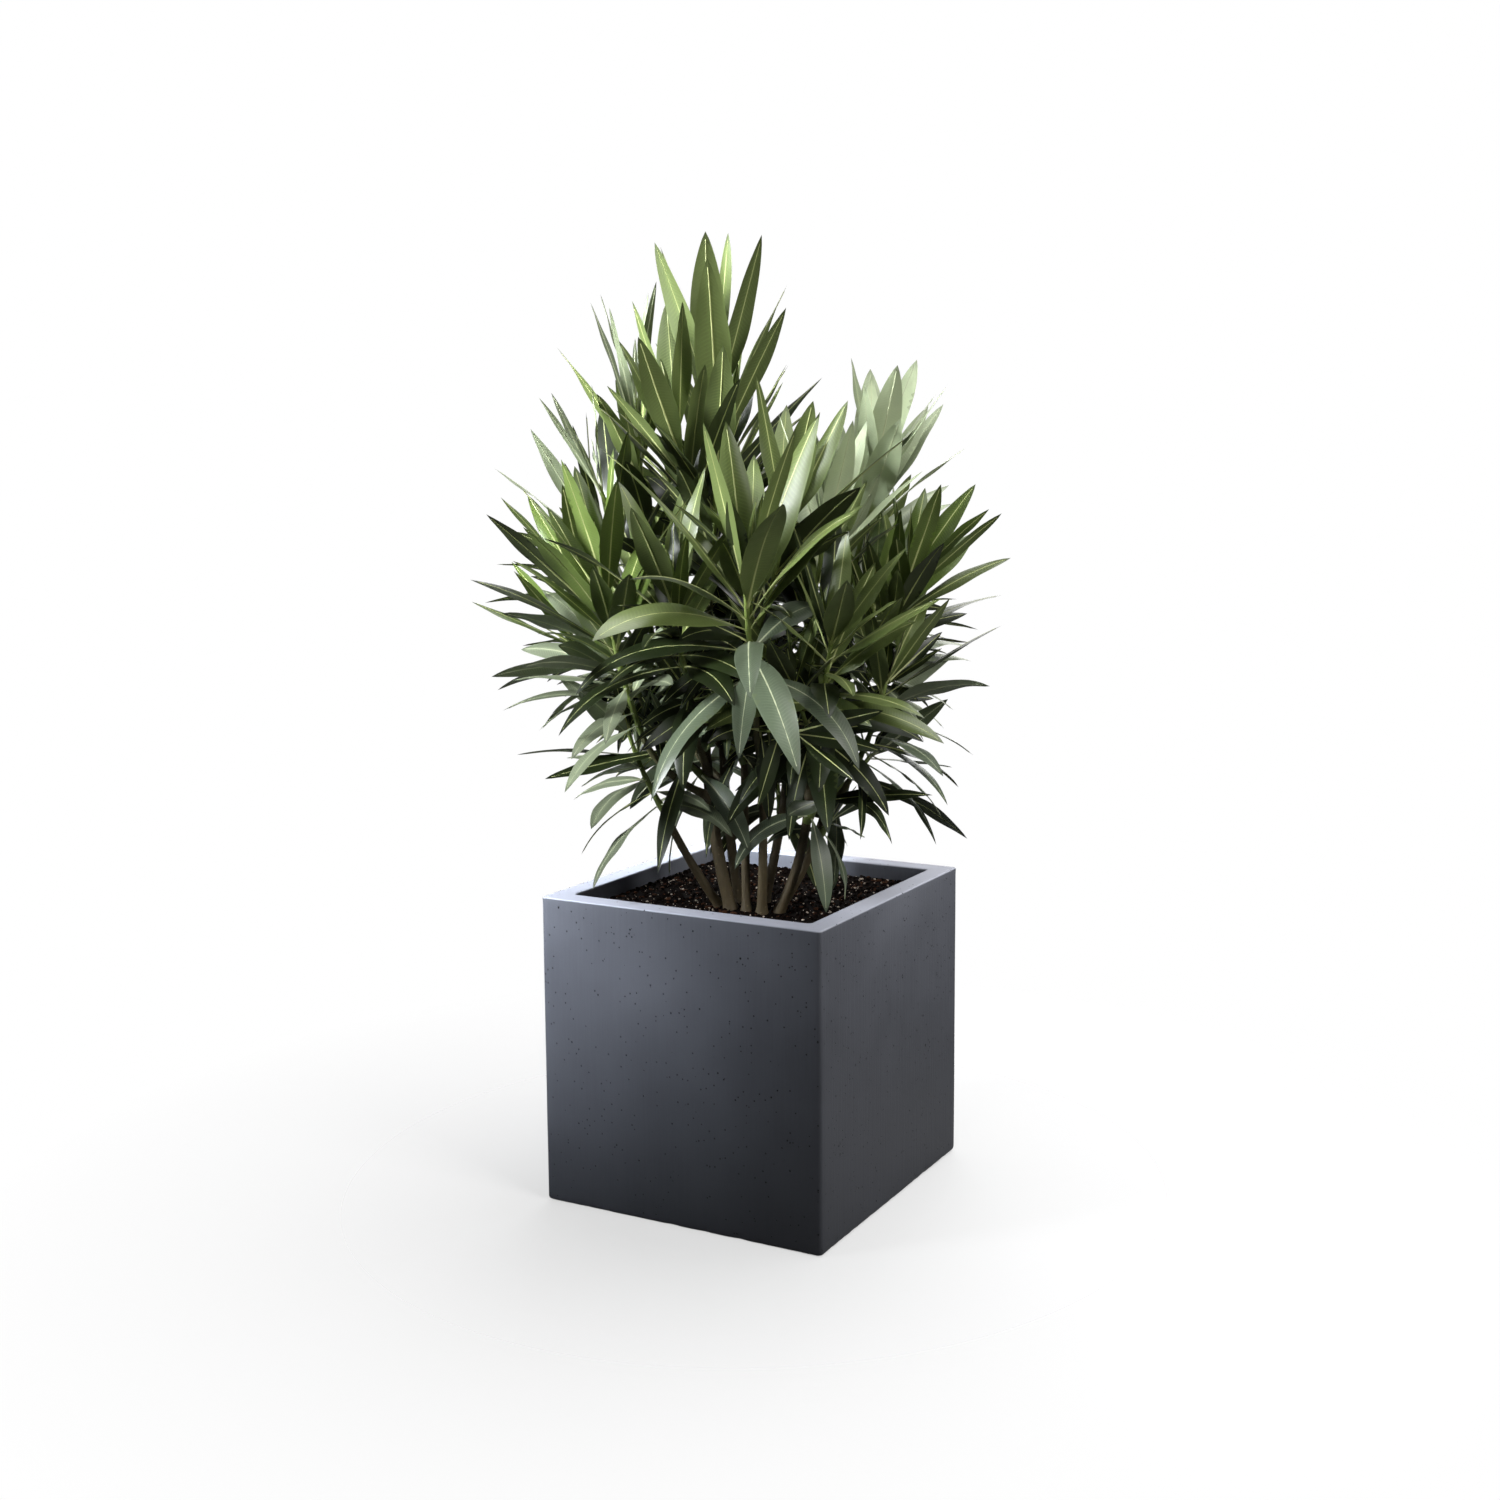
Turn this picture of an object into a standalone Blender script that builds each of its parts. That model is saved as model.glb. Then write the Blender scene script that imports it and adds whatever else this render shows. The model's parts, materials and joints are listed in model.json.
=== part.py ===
"""Potted oleander: a shrub of several canes in a square planter full of soil.

Metres, +Z up. The origin is the middle of the planter's flat underside, and the planter's
sides face along X and Y. Every cane, bough and mass of foliage is a solid of its own.
The plant's own places are polar: an azimuth round the plant's upright axis (0 to its right,
90 to its back, 180 to its left, 270 to its front), a reach from that axis and a height.
"""

import math
from random import Random

import bmesh
import bpy
from mathutils import Vector
from mathutils.bvhtree import BVHTree

# ---- Driving dimensions, in metres and degrees

# The planter is as high as it is wide.
PLANTER_SIDE = 0.300
WALL = 0.0224
FLOOR = 0.020
CORNER_RADIUS = 0.0035
INNER_CORNER_RADIUS = 0.0050
FOOT_RADIUS = 0.0045
RIM_RADIUS = 0.0015
SOIL_BELOW_RIM = 0.013
GAP = 0.0003

# The plant stands before the middle of the soil, turned against the planter.
PLANT_AXIS_X = 0.0225
PLANT_AXIS_Y = -0.0558
PLANT_TURN = 26.7

# Canes and boughs: sides of their section, a ring every so far, the widening of a cane's foot
# and how high it reaches, and the tip's radius as a share of the foot's.
CANE_SIDES = 8
BOUGH_SIDES = 6
RING_SPACING = 0.035
FLARE = 0.45
FLARE_HEIGHT = 0.014
LIMB_TAPER = 0.72

# Stems of the foliage. A side twig starts higher up its stem than the one before it, and its
# length is a share of the stem's.
TWIG_SIDES = 3
TWIG_RADIUS = 0.0034
TWIG_TIP_RADIUS = 0.0022
TWIG_BOW = 0.06
SIDE_TWIG_FIRST_SHARE = 0.12
SIDE_TWIG_STEP = 0.22
SIDE_TWIG_LENGTH = (0.50, 0.68)
SIDE_TWIG_THINNESS = 0.87
SIDE_TWIG_SPREAD = 0.42
SIDE_TWIG_TURN_JITTER = 20
SIDE_TWIG_TRIES = 6
SIDE_TWIG_LEAF_LENGTH = 0.88
SIDE_TWIG_PHASE = 40
SIDE_TWIG_FEWER_WHORLS = 3
FEWEST_WHORLS = 3
GOLDEN_ANGLE = 137.5

# Whorls of leaves, from the top of a twig down: where they stand along it, and how their length,
# angle and droop change with their age, which is 0 at the top and 1 at the foot.
LEAVES_IN_WHORL = 3
WHORL_TURN = 60
TOP_WHORL_SHARE = 0.95
WHORL_SPAN = 0.87
WHORL_CROWDING = 1.15
ANGLE_EASE = 1.1
TOP_LEAF_LENGTH = 0.80
LENGTH_GAIN = 0.12
OLD_LEAF_LOSS = 0.20
TOP_DROOP = 0.12
DROOP_EASE = 1.3

# What chance adds to each leaf, and what changes with every new try for room.
TURN_JITTER = 7
ANGLE_JITTER = 4
ROLL_JITTER = 14
LENGTH_RANGE = (0.92, 1.06)
DROOP_RANGE = (0.8, 1.2)
LEAF_TRIES = 9
SHORTER_EACH_TRY = 0.025

# One leaf: width and thickness as shares of its length, how it bends, and the room that it keeps.
LEAF_WIDTH = 0.190
LEAF_THICKNESS = 0.0120
LEAF_ROOT_WIDTH = 0.06
LEAF_ROOT_OFFSET = 0.0011
LEAF_STEPS = 12
LEAF_BEND = 1.6
LEAF_CURL = 0.35
LEAF_CLEARANCE = 0.0004
FREE_LEAF_SHARE = 0.14
PLANTER_CLEARANCE = 0.005

# Share of the leaf's length, and share of its greatest width there.
LEAF_STATIONS = ((0.0, LEAF_ROOT_WIDTH), (0.30, 0.90), (0.66, 0.94), (1.0, 0.0))

SMOOTH_ANGLE = 40

# Name, foot (azimuth, reach), tip (azimuth, reach, height), radius at the foot, bow.
CANES = (
    ("cane_1", (176, 0.026), (194, 0.080, 0.385), 0.0046, 0.04),
    ("cane_2", (216, 0.019), (196, 0.040, 0.452), 0.0062, 0.05),
    ("cane_3", (140, 0.010), (155, 0.027, 0.440), 0.0045, 0.04),
    ("cane_4", (268, 0.020), (262, 0.014, 0.445), 0.0044, 0.02),
    ("cane_5", (300, 0.028), (295, 0.040, 0.415), 0.0048, 0.04),
    ("cane_6", (325, 0.036), (330, 0.070, 0.440), 0.0050, 0.12),
    ("cane_7", (350, 0.030), (352, 0.080, 0.412), 0.0044, 0.10),
    ("cane_8", (50, 0.022), (50, 0.060, 0.440), 0.0048, 0.06),
    ("cane_9", (110, 0.032), (112, 0.075, 0.440), 0.0048, 0.06),
)

# Name, limb that it grows from, share of that limb's length where it starts (1 is the tip),
# tip (azimuth, reach, height), radius at its start, bow.
BOUGHS = (
    ("bough_top", "cane_2", 1.0, (184, 0.034, 0.610), 0.0042, 0.03),
    ("bough_left_front", "cane_2", 0.66, (212, 0.108, 0.460), 0.0036, 0.16),
    ("bough_front_left", "cane_2", 0.80, (238, 0.085, 0.500), 0.0034, 0.14),
    ("bough_top_left", "cane_3", 1.0, (150, 0.092, 0.560), 0.0038, 0.10),
    ("bough_left", "cane_3", 0.74, (180, 0.100, 0.490), 0.0034, 0.16),
    ("bough_centre_high", "cane_4", 1.0, (272, 0.060, 0.530), 0.0036, 0.06),
    ("bough_centre_front", "cane_5", 1.0, (276, 0.125, 0.518), 0.0036, 0.14),
    ("bough_inner_right", "cane_6", 0.74, (336, 0.050, 0.520), 0.0034, 0.08),
    ("bough_right", "cane_7", 1.0, (0, 0.105, 0.490), 0.0034, 0.06),
    ("bough_right_low", "cane_7", 0.80, (338, 0.110, 0.430), 0.0032, 0.14),
    ("bough_right_high", "cane_8", 1.0, (28, 0.095, 0.560), 0.0038, 0.06),
    ("bough_back_right", "cane_8", 0.72, (50, 0.125, 0.490), 0.0034, 0.14),
    ("bough_back_high", "cane_9", 1.0, (98, 0.085, 0.590), 0.0038, 0.05),
    ("bough_back_left", "cane_9", 0.70, (135, 0.125, 0.490), 0.0034, 0.14),
)

# Name, limb, share of the limb where the stem starts, stem tip (azimuth, reach, height), leaf
# length, whorls, angle of the top leaves and of the lowest to the stem, droop of the lowest,
# phase of the first whorl, side twigs.
MASSES = (
    ("foliage_centre_front", "bough_centre_front", 1.0, (273, 0.165, 0.606), 0.190, 5, 14, 100, 1.3, 85, 0),
    ("foliage_centre_high", "bough_centre_high", 1.0, (296, 0.092, 0.655), 0.170, 6, 20, 78, 0.6, 20, 1),
    ("foliage_top", "bough_top", 1.0, (185, 0.030, 0.785), 0.176, 7, 13, 52, 0.3, 20, 1),
    ("foliage_left_front", "bough_left_front", 1.0, (214, 0.148, 0.610), 0.145, 7, 12, 78, 0.7, 100, 0),
    ("foliage_front_left", "bough_front_left", 1.0, (240, 0.120, 0.590), 0.150, 5, 24, 92, 1.0, 0, 0),
    ("foliage_right_front", "cane_6", 1.0, (306, 0.138, 0.556), 0.150, 6, 26, 92, 0.9, 10, 1),
    ("foliage_inner_right", "bough_inner_right", 1.0, (330, 0.084, 0.640), 0.150, 5, 20, 80, 0.6, 40, 0),
    ("foliage_right_high", "bough_right_high", 1.0, (17, 0.124, 0.698), 0.148, 7, 18, 72, 0.4, 30, 1),
    ("foliage_left", "bough_left", 1.0, (182, 0.150, 0.595), 0.148, 6, 20, 76, 0.5, 40, 1),
    ("foliage_right", "bough_right", 1.0, (0, 0.152, 0.606), 0.138, 6, 20, 76, 0.6, 20, 1),
    ("foliage_top_left", "bough_top_left", 1.0, (154, 0.118, 0.768), 0.148, 7, 14, 74, 0.6, 60, 1),
    ("foliage_right_low", "bough_right_low", 1.0, (344, 0.136, 0.512), 0.138, 6, 30, 96, 1.0, 50, 0),
    ("foliage_left_low", "cane_1", 1.0, (194, 0.112, 0.462), 0.130, 4, 50, 95, 0.8, 0, 0),
    ("foliage_left_back", "bough_top_left", 0.45, (158, 0.165, 0.650), 0.145, 6, 16, 76, 0.5, 0, 0),
    ("foliage_back_high", "bough_back_high", 1.0, (108, 0.096, 0.722), 0.155, 7, 14, 72, 0.4, 10, 2),
    ("foliage_back_right", "bough_back_right", 1.0, (48, 0.160, 0.590), 0.150, 6, 18, 86, 0.8, 50, 1),
    ("foliage_back_left", "bough_back_left", 1.0, (132, 0.160, 0.590), 0.150, 6, 18, 86, 0.8, 30, 1),
    ("foliage_back_low", "cane_9", 0.80, (92, 0.140, 0.500), 0.145, 5, 28, 100, 1.2, 0, 0),
    ("foliage_skirt_front", "cane_6", 0.62, (322, 0.088, 0.402), 0.130, 2, 60, 110, 1.6, 30, 0),
    ("foliage_skirt_left", "cane_2", 0.76, (208, 0.074, 0.448), 0.145, 3, 65, 108, 1.3, 0, 0),
    ("foliage_skirt_middle", "cane_4", 0.90, (238, 0.044, 0.476), 0.140, 2, 70, 110, 1.2, 0, 0),
    ("foliage_skirt_right", "cane_7", 0.55, (345, 0.080, 0.375), 0.105, 2, 60, 105, 1.5, 60, 0),
    ("foliage_skirt_low_right", "cane_7", 0.86, (8, 0.118, 0.432), 0.140, 3, 50, 100, 0.9, 20, 0),
    ("foliage_skirt_back", "cane_8", 0.55, (70, 0.075, 0.395), 0.120, 3, 50, 110, 1.5, 0, 0),
)

COLOURS = {
    "planter": (0.075, 0.082, 0.098),
    "soil": (0.020, 0.014, 0.011),
    "cane": (0.110, 0.085, 0.038),
    "bough": (0.120, 0.115, 0.045),
    "foliage": (0.058, 0.105, 0.040),
}
ROUGHNESS = {"planter": 0.62, "soil": 0.95, "cane": 0.75, "bough": 0.65, "foliage": 0.45}


# ---- Places and curves


def plant_place(azimuth, reach, height):
    """A point from its azimuth, reach and height about the plant's axis."""
    angle = math.radians(azimuth + PLANT_TURN)
    across = Vector((math.cos(angle), math.sin(angle), 0.0)) * reach
    return Vector((PLANT_AXIS_X, PLANT_AXIS_Y, height)) + across


def soil_top():
    return PLANTER_SIDE - SOIL_BELOW_RIM


def curve_point(ends, share):
    """A point on the quadratic curve that starts at ends[0], is pulled by ends[1] and stops at ends[2]."""
    start, pull, stop = ends
    return start.lerp(pull, share).lerp(pull.lerp(stop, share), share)


def curve_direction(ends, share):
    start, pull, stop = ends
    return (pull - start).lerp(stop - pull, share).normalized()


def bowed(start, stop, bow):
    """The quadratic curve between two points that first runs outwards and then turns up."""
    middle = start.lerp(stop, 0.5)
    sideways = Vector((stop.x - start.x, stop.y - start.y, 0.0))
    length = (stop - start).length
    outwards = sideways.normalized() if sideways.length > 1e-6 else Vector()
    pull = middle + outwards * length * bow - Vector((0.0, 0.0, length * bow * 0.5))
    return start, pull, stop


def frames_along(ends, shares):
    """For each share of the curve its point, direction and two directions across it, without twist."""
    frames = []
    across = None
    for share in shares:
        direction = curve_direction(ends, share)
        if across is None:
            across = direction.orthogonal()
        across = (across - direction * across.dot(direction)).normalized()
        frames.append((curve_point(ends, share), direction, across, direction.cross(across)))
    return frames


# ---- Mesh helpers


def clear_scene():
    for item in list(bpy.data.objects):
        bpy.data.objects.remove(item, do_unlink=True)


def mesh_object(name, points, faces, smooth=False):
    """An object from points and faces, its normals facing out."""
    mesh = bpy.data.meshes.new(name)
    mesh.from_pydata([tuple(point) for point in points], [], faces)
    shape = bmesh.new()
    shape.from_mesh(mesh)
    bmesh.ops.recalc_face_normals(shape, faces=shape.faces)
    shape.to_mesh(mesh)
    shape.free()
    if smooth:
        mesh.shade_smooth()
        mesh.set_sharp_from_angle(angle=math.radians(SMOOTH_ANGLE))
    item = bpy.data.objects.new(name, mesh)
    bpy.context.scene.collection.objects.link(item)
    return item


def paint(item, kind):
    """Gives the object its own material, in the colour of its kind."""
    material = bpy.data.materials.new(item.name)
    material.use_nodes = True
    shader = material.node_tree.nodes["Principled BSDF"]
    shader.inputs["Base Color"].default_value = (*COLOURS[kind], 1.0)
    shader.inputs["Roughness"].default_value = ROUGHNESS[kind]
    shader.inputs["Metallic"].default_value = 0.0
    item.data.materials.clear()
    item.data.materials.append(material)
    return item


def ring_faces(first, second, count):
    """Quads between two rings of points that start at the indices first and second."""
    return [
        (first + i, first + (i + 1) % count, second + (i + 1) % count, second + i)
        for i in range(count)
    ]


def lofted_shape(rings):
    """Points and faces through equal rings of points, with a flat cap on the first and last."""
    count = len(rings[0])
    points = [point for ring in rings for point in ring]
    faces = [tuple(range(count)), tuple(range(len(points) - count, len(points)))]
    for level in range(len(rings) - 1):
        faces += ring_faces(level * count, (level + 1) * count, count)
    return points, faces


def lofted(name, rings, smooth=True):
    return mesh_object(name, *lofted_shape(rings), smooth)


# ---- Planter and soil


def rounded_square(side, radius, height, steps=3):
    """One ring of points: a square of this side with rounded corners, at this height."""
    reach = side / 2 - radius
    ring = []
    for corner, (x, y) in enumerate(((1, 1), (-1, 1), (-1, -1), (1, -1))):
        for step in range(steps + 1):
            angle = math.radians(90 * (corner + step / steps))
            across = Vector((math.cos(angle), math.sin(angle), 0.0)) * radius
            ring.append(Vector((x * reach, y * reach, height)) + across)
    return ring


def quarter_round(radius, steps):
    """Pairs of (start side, end side) distances from the square edge that a quarter round cuts off."""
    angles = [math.radians(90 * step / steps) for step in range(steps + 1)]
    return [(radius * (1 - math.sin(angle)), radius * (1 - math.cos(angle))) for angle in angles]


def planter_section():
    """The planter's wall in section, as (inset from the outer side, corner radius, height)."""
    section = [(inset, CORNER_RADIUS, height) for inset, height in quarter_round(FOOT_RADIUS, 3)]
    for below, inset in quarter_round(RIM_RADIUS, 2):
        section.append((inset, CORNER_RADIUS, PLANTER_SIDE - below))
    for inset, below in quarter_round(RIM_RADIUS, 2):
        section.append((WALL - inset, INNER_CORNER_RADIUS, PLANTER_SIDE - below))
    section.append((WALL, INNER_CORNER_RADIUS, FLOOR))
    return section


def build_planter():
    rings = [
        rounded_square(PLANTER_SIDE - 2 * inset, radius, height)
        for inset, radius, height in planter_section()
    ]
    return paint(lofted("planter", rings), "planter")


def build_soil():
    side = PLANTER_SIDE - 2 * (WALL + GAP)
    rings = [
        rounded_square(side, INNER_CORNER_RADIUS, height) for height in (FLOOR + GAP, soil_top())
    ]
    return paint(lofted("soil", rings), "soil")


# ---- Canes and boughs


class Limb:
    """A cane, bough or twig: its curve, its radius at both ends and how many sides it has."""

    def __init__(self, ends, radius, tip_radius, sides):
        self.ends = ends
        self.radius = radius
        self.tip_radius = tip_radius
        self.sides = sides
        self.length = (ends[2] - ends[0]).length

    def radius_at(self, share):
        return self.radius + (self.tip_radius - self.radius) * share

    def rings(self, flare=0.0):
        """Rings of points round the limb. With a flare it widens to a foot cut flat at its start."""
        steps = max(3, round(self.length / RING_SPACING))
        shares = [step / steps for step in range(steps + 1)]
        if flare:
            flare_share = FLARE_HEIGHT / self.length
            shares = sorted(set(shares + [flare_share, flare_share / 3]))
        turns = [math.tau * side / self.sides for side in range(self.sides)]
        ground = self.ends[0].z
        rings = []
        for share, (place, _, across, over) in zip(shares, frames_along(self.ends, shares)):
            swelling = 1 + flare * max(0.0, 1 - share * self.length / FLARE_HEIGHT) ** 2
            radius = self.radius_at(share) * swelling
            ring = [place + (across * math.cos(turn) + over * math.sin(turn)) * radius for turn in turns]
            if flare and share == 0.0:
                ring = [Vector((point.x, point.y, ground)) for point in ring]
            elif flare:
                ring = [Vector((point.x, point.y, max(point.z, ground + GAP))) for point in ring]
            rings.append(ring)
        return rings

    def shell(self):
        """Points and faces of the limb without flare, closed at both ends."""
        return lofted_shape(self.rings())


def grown_from(parent, share, tip, radius, tip_radius, sides, bow):
    """A limb towards tip that starts just clear of its parent, at this share of the parent."""
    root = curve_point(parent.ends, share)
    away = (tip - root).normalized()
    parent_tree = BVHTree.FromPolygons(*parent.shell())
    distance = GAP
    while True:
        limb = Limb(bowed(root + away * distance, tip, bow), radius, tip_radius, sides)
        past_tip = share == 1.0 or distance > parent.radius_at(share)
        if past_tip and not BVHTree.FromPolygons(*limb.shell()).overlap(parent_tree):
            return Limb(bowed(root + away * (distance + GAP), tip, bow), radius, tip_radius, sides)
        distance += GAP


def build_canes():
    """The canes, standing on the soil with a flat foot, as {name: Limb}."""
    limbs = {}
    for name, foot, tip, radius, bow in CANES:
        start = plant_place(*foot, soil_top() + GAP)
        limb = Limb(bowed(start, plant_place(*tip), bow), radius, radius * LIMB_TAPER, CANE_SIDES)
        paint(lofted(name, limb.rings(FLARE)), "cane")
        limbs[name] = limb
    return limbs


def build_boughs(limbs):
    """The boughs, each 0.3 mm clear of the limb that it grows from."""
    for name, parent, share, tip, radius, bow in BOUGHS:
        tip_radius = radius * LIMB_TAPER
        limb = grown_from(limbs[parent], share, plant_place(*tip), radius, tip_radius, BOUGH_SIDES, bow)
        paint(lofted(name, limb.rings()), "bough")
        limbs[name] = limb


# ---- Leaves


def leaf_path(root, direction, normal, length, droop, shares):
    """Points, directions and normals at these shares of a leaf that leaves in this direction and
    bends back and down by its droop."""
    place, heading, facing = root, direction, normal
    path = [(place, heading, facing)]
    for step in range(LEAF_STEPS):
        pull = LEAF_BEND * droop * (step + 1) / LEAF_STEPS**2
        heading = (heading - Vector((0.0, 0.0, pull)) - facing * pull * LEAF_CURL).normalized()
        facing = (facing - heading * facing.dot(heading)).normalized()
        place = place + heading * length / LEAF_STEPS
        path.append((place, heading, facing))
    return [path[round(share * LEAF_STEPS)] for share in shares]


def leaf_mesh(aim, from_share=0.0, swell=0.0):
    """Points and faces of one leaf: a flat upper side and a keel under its midrib.
    It starts at from_share of the leaf's length, and swell thickens it all round."""
    stations = [pair for pair in LEAF_STATIONS if pair[0] >= from_share]
    if from_share:
        (_, foot), (next_share, next_width) = LEAF_STATIONS[:2]
        stations.insert(0, (from_share, foot + (next_width - foot) * from_share / next_share))
    path = leaf_path(*aim, [share for share, _ in stations])
    length = aim[3]
    points = []
    for (_, width), (place, heading, normal) in zip(stations[:-1], path):
        side = heading.cross(normal) * (length * LEAF_WIDTH * width / 2 + swell)
        top = place + normal * swell
        points += [top - side, top + side, place - normal * (length * LEAF_THICKNESS + swell)]
    place, heading, _ = path[-1]
    points.append(place + heading * swell)
    faces = [(0, 1, 2)]
    for level in range(len(stations) - 2):
        faces += ring_faces(level * 3, level * 3 + 3, 3)
    last = len(points) - 1
    faces += [(last - 3, last - 2, last), (last - 2, last - 1, last), (last - 1, last - 3, last)]
    return points, faces


def box_of(points):
    """The lowest and highest corner of the points' box."""
    low = [min(point[axis] for point in points) for axis in range(3)]
    high = [max(point[axis] for point in points) for axis in range(3)]
    return low, high


def apart(box, other):
    return any(box[0][axis] > other[1][axis] or box[1][axis] < other[0][axis] for axis in range(3))


class Piece:
    """A limb, twig or leaf in the crown. Pieces of one mass may meet near their feet, so there
    only their free parts count. A limb belongs to no mass."""

    def __init__(self, mass, whole, free=None):
        self.mass = mass
        self.box = box_of(whole[0])
        self.whole = BVHTree.FromPolygons(*whole)
        self.free = BVHTree.FromPolygons(*free) if free else self.whole

    def touches(self, other):
        if apart(self.box, other.box):
            return False
        if self.mass != other.mass:
            return bool(self.whole.overlap(other.whole))
        return bool(self.free.overlap(other.free))


class Crown:
    """Every limb, twig and leaf placed so far."""

    def __init__(self, limbs):
        self.pieces = [Piece(None, limb.shell()) for limb in limbs.values()]

    def has_room_for(self, piece, root=None):
        """Whether the piece touches nothing but what it is rooted in."""
        return not any(other is not root and piece.touches(other) for other in self.pieces)


def leaf_aim(limb, share, turn, angle, length, droop, roll):
    """Root, direction, normal, length and droop of a leaf at this share of its twig."""
    place, along, across, over = frames_along(limb.ends, (0.0, share))[1]
    turn = math.radians(turn)
    angle = math.radians(angle)
    roll = math.radians(roll)
    outwards = across * math.cos(turn) + over * math.sin(turn)
    direction = along * math.cos(angle) + outwards * math.sin(angle)
    flat = along * math.sin(angle) - outwards * math.cos(angle)
    normal = flat * math.cos(roll) + direction.cross(flat) * math.sin(roll)
    return place + outwards * LEAF_ROOT_OFFSET, direction, normal, length, droop


def clear_of_planter(points):
    """Whether a leaf keeps over the rim, or over the soil inside it."""
    inside = PLANTER_SIDE / 2 - WALL - PLANTER_CLEARANCE
    for point in points:
        over_soil = max(abs(point.x), abs(point.y)) < inside
        ground = soil_top() if over_soil else PLANTER_SIDE
        if point.z < ground + PLANTER_CLEARANCE:
            return False
    return True


# ---- Masses of foliage


class Twig:
    """A leafy twig of a mass, and how its whorls of leaves stand."""

    def __init__(self, mass, name, limb, leaf_length, whorls, angles, droop, phase):
        self.mass = mass
        self.name = name
        self.limb = limb
        self.leaf_length = leaf_length
        self.whorls = whorls
        self.angles = angles
        self.droop = droop
        self.phase = phase
        self.piece = Piece(mass, limb.shell())
        self.leaves = []

    def whorl(self, number):
        """Share of the twig, angle, leaf length and droop of a whorl, counted from the tip."""
        age = number / (self.whorls - 1)
        share = TOP_WHORL_SHARE - WHORL_SPAN * age**WHORL_CROWDING
        top_angle, low_angle = self.angles
        angle = top_angle + (low_angle - top_angle) * age**ANGLE_EASE
        grown = min(1.0, TOP_LEAF_LENGTH + LENGTH_GAIN * number)
        length = self.leaf_length * grown * (1 - OLD_LEAF_LOSS * age**2)
        droop = self.droop * (TOP_DROOP + (1 - TOP_DROOP) * age**DROOP_EASE)
        return share, angle, length, droop

    def grow_leaf(self, number, leaf, crown):
        """Adds one leaf of a whorl, aimed afresh while it would touch something, or leaves it out."""
        share, angle, length, droop = self.whorl(number)
        turn = self.phase + WHORL_TURN * number + 360 / LEAVES_IN_WHORL * leaf
        chance = Random(f"{self.name} {number} {leaf}")
        for attempt in range(LEAF_TRIES):
            aim = leaf_aim(
                self.limb,
                share,
                turn + chance.uniform(-TURN_JITTER, TURN_JITTER) * (1 + attempt),
                angle + chance.uniform(-ANGLE_JITTER, ANGLE_JITTER) * (1 + attempt),
                length * chance.uniform(*LENGTH_RANGE) * (1 - SHORTER_EACH_TRY * attempt),
                droop * chance.uniform(*DROOP_RANGE),
                chance.uniform(-ROLL_JITTER, ROLL_JITTER),
            )
            whole = leaf_mesh(aim, 0.0, LEAF_CLEARANCE)
            if not clear_of_planter(whole[0]):
                continue
            piece = Piece(self.mass, whole, leaf_mesh(aim, FREE_LEAF_SHARE, LEAF_CLEARANCE))
            if crown.has_room_for(piece, self.piece):
                crown.pieces.append(piece)
                self.leaves.append(aim)
                return


def stem_of(mass, limbs):
    """The main stem of a mass, as a leafy twig."""
    name, parent, share, tip, leaf_length, whorls, top_angle, low_angle, droop, phase, _ = mass
    limb = grown_from(
        limbs[parent], share, plant_place(*tip), TWIG_RADIUS, TWIG_TIP_RADIUS, TWIG_SIDES, TWIG_BOW
    )
    return Twig(name, name, limb, leaf_length, whorls, (top_angle, low_angle), droop, phase)


def side_twig_of(stem, number, crown):
    """A side twig of a stem, turned further round it until it has room, or None."""
    chance = Random(f"{stem.name} side {number}")
    share = SIDE_TWIG_FIRST_SHARE + SIDE_TWIG_STEP * number
    root, along, across, over = frames_along(stem.limb.ends, (0.0, share))[1]
    reach = stem.limb.length * chance.uniform(*SIDE_TWIG_LENGTH)
    first_turn = stem.phase + GOLDEN_ANGLE * (number + 1)
    first_turn += chance.uniform(-SIDE_TWIG_TURN_JITTER, SIDE_TWIG_TURN_JITTER)
    for attempt in range(SIDE_TWIG_TRIES):
        turn = math.radians(first_turn + attempt * 360 / SIDE_TWIG_TRIES)
        outwards = across * math.cos(turn) + over * math.sin(turn)
        tip = root + (along + outwards * SIDE_TWIG_SPREAD).normalized() * reach
        radii = TWIG_RADIUS * SIDE_TWIG_THINNESS, TWIG_TIP_RADIUS * SIDE_TWIG_THINNESS
        limb = Limb(bowed(root, tip, TWIG_BOW), *radii, TWIG_SIDES)
        twig = Twig(
            stem.mass,
            f"{stem.name}_{number + 1}",
            limb,
            stem.leaf_length * SIDE_TWIG_LEAF_LENGTH,
            max(FEWEST_WHORLS, stem.whorls - SIDE_TWIG_FEWER_WHORLS),
            stem.angles,
            stem.droop,
            stem.phase + SIDE_TWIG_PHASE,
        )
        if crown.has_room_for(twig.piece, stem.piece):
            return twig
    return None


def grow_crown(limbs):
    """All leafy twigs with their leaves. Each round fills the next whorl of every twig."""
    crown = Crown(limbs)
    stems = [stem_of(mass, limbs) for mass in MASSES]
    crown.pieces += [stem.piece for stem in stems]
    twigs = list(stems)
    for stem, (*_, side_twigs) in zip(stems, MASSES):
        for number in range(side_twigs):
            twig = side_twig_of(stem, number, crown)
            if twig:
                crown.pieces.append(twig.piece)
                twigs.append(twig)
    for number in range(max(twig.whorls for twig in twigs)):
        for twig in twigs:
            if number < twig.whorls:
                for leaf in range(LEAVES_IN_WHORL):
                    twig.grow_leaf(number, leaf, crown)
    return twigs


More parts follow.
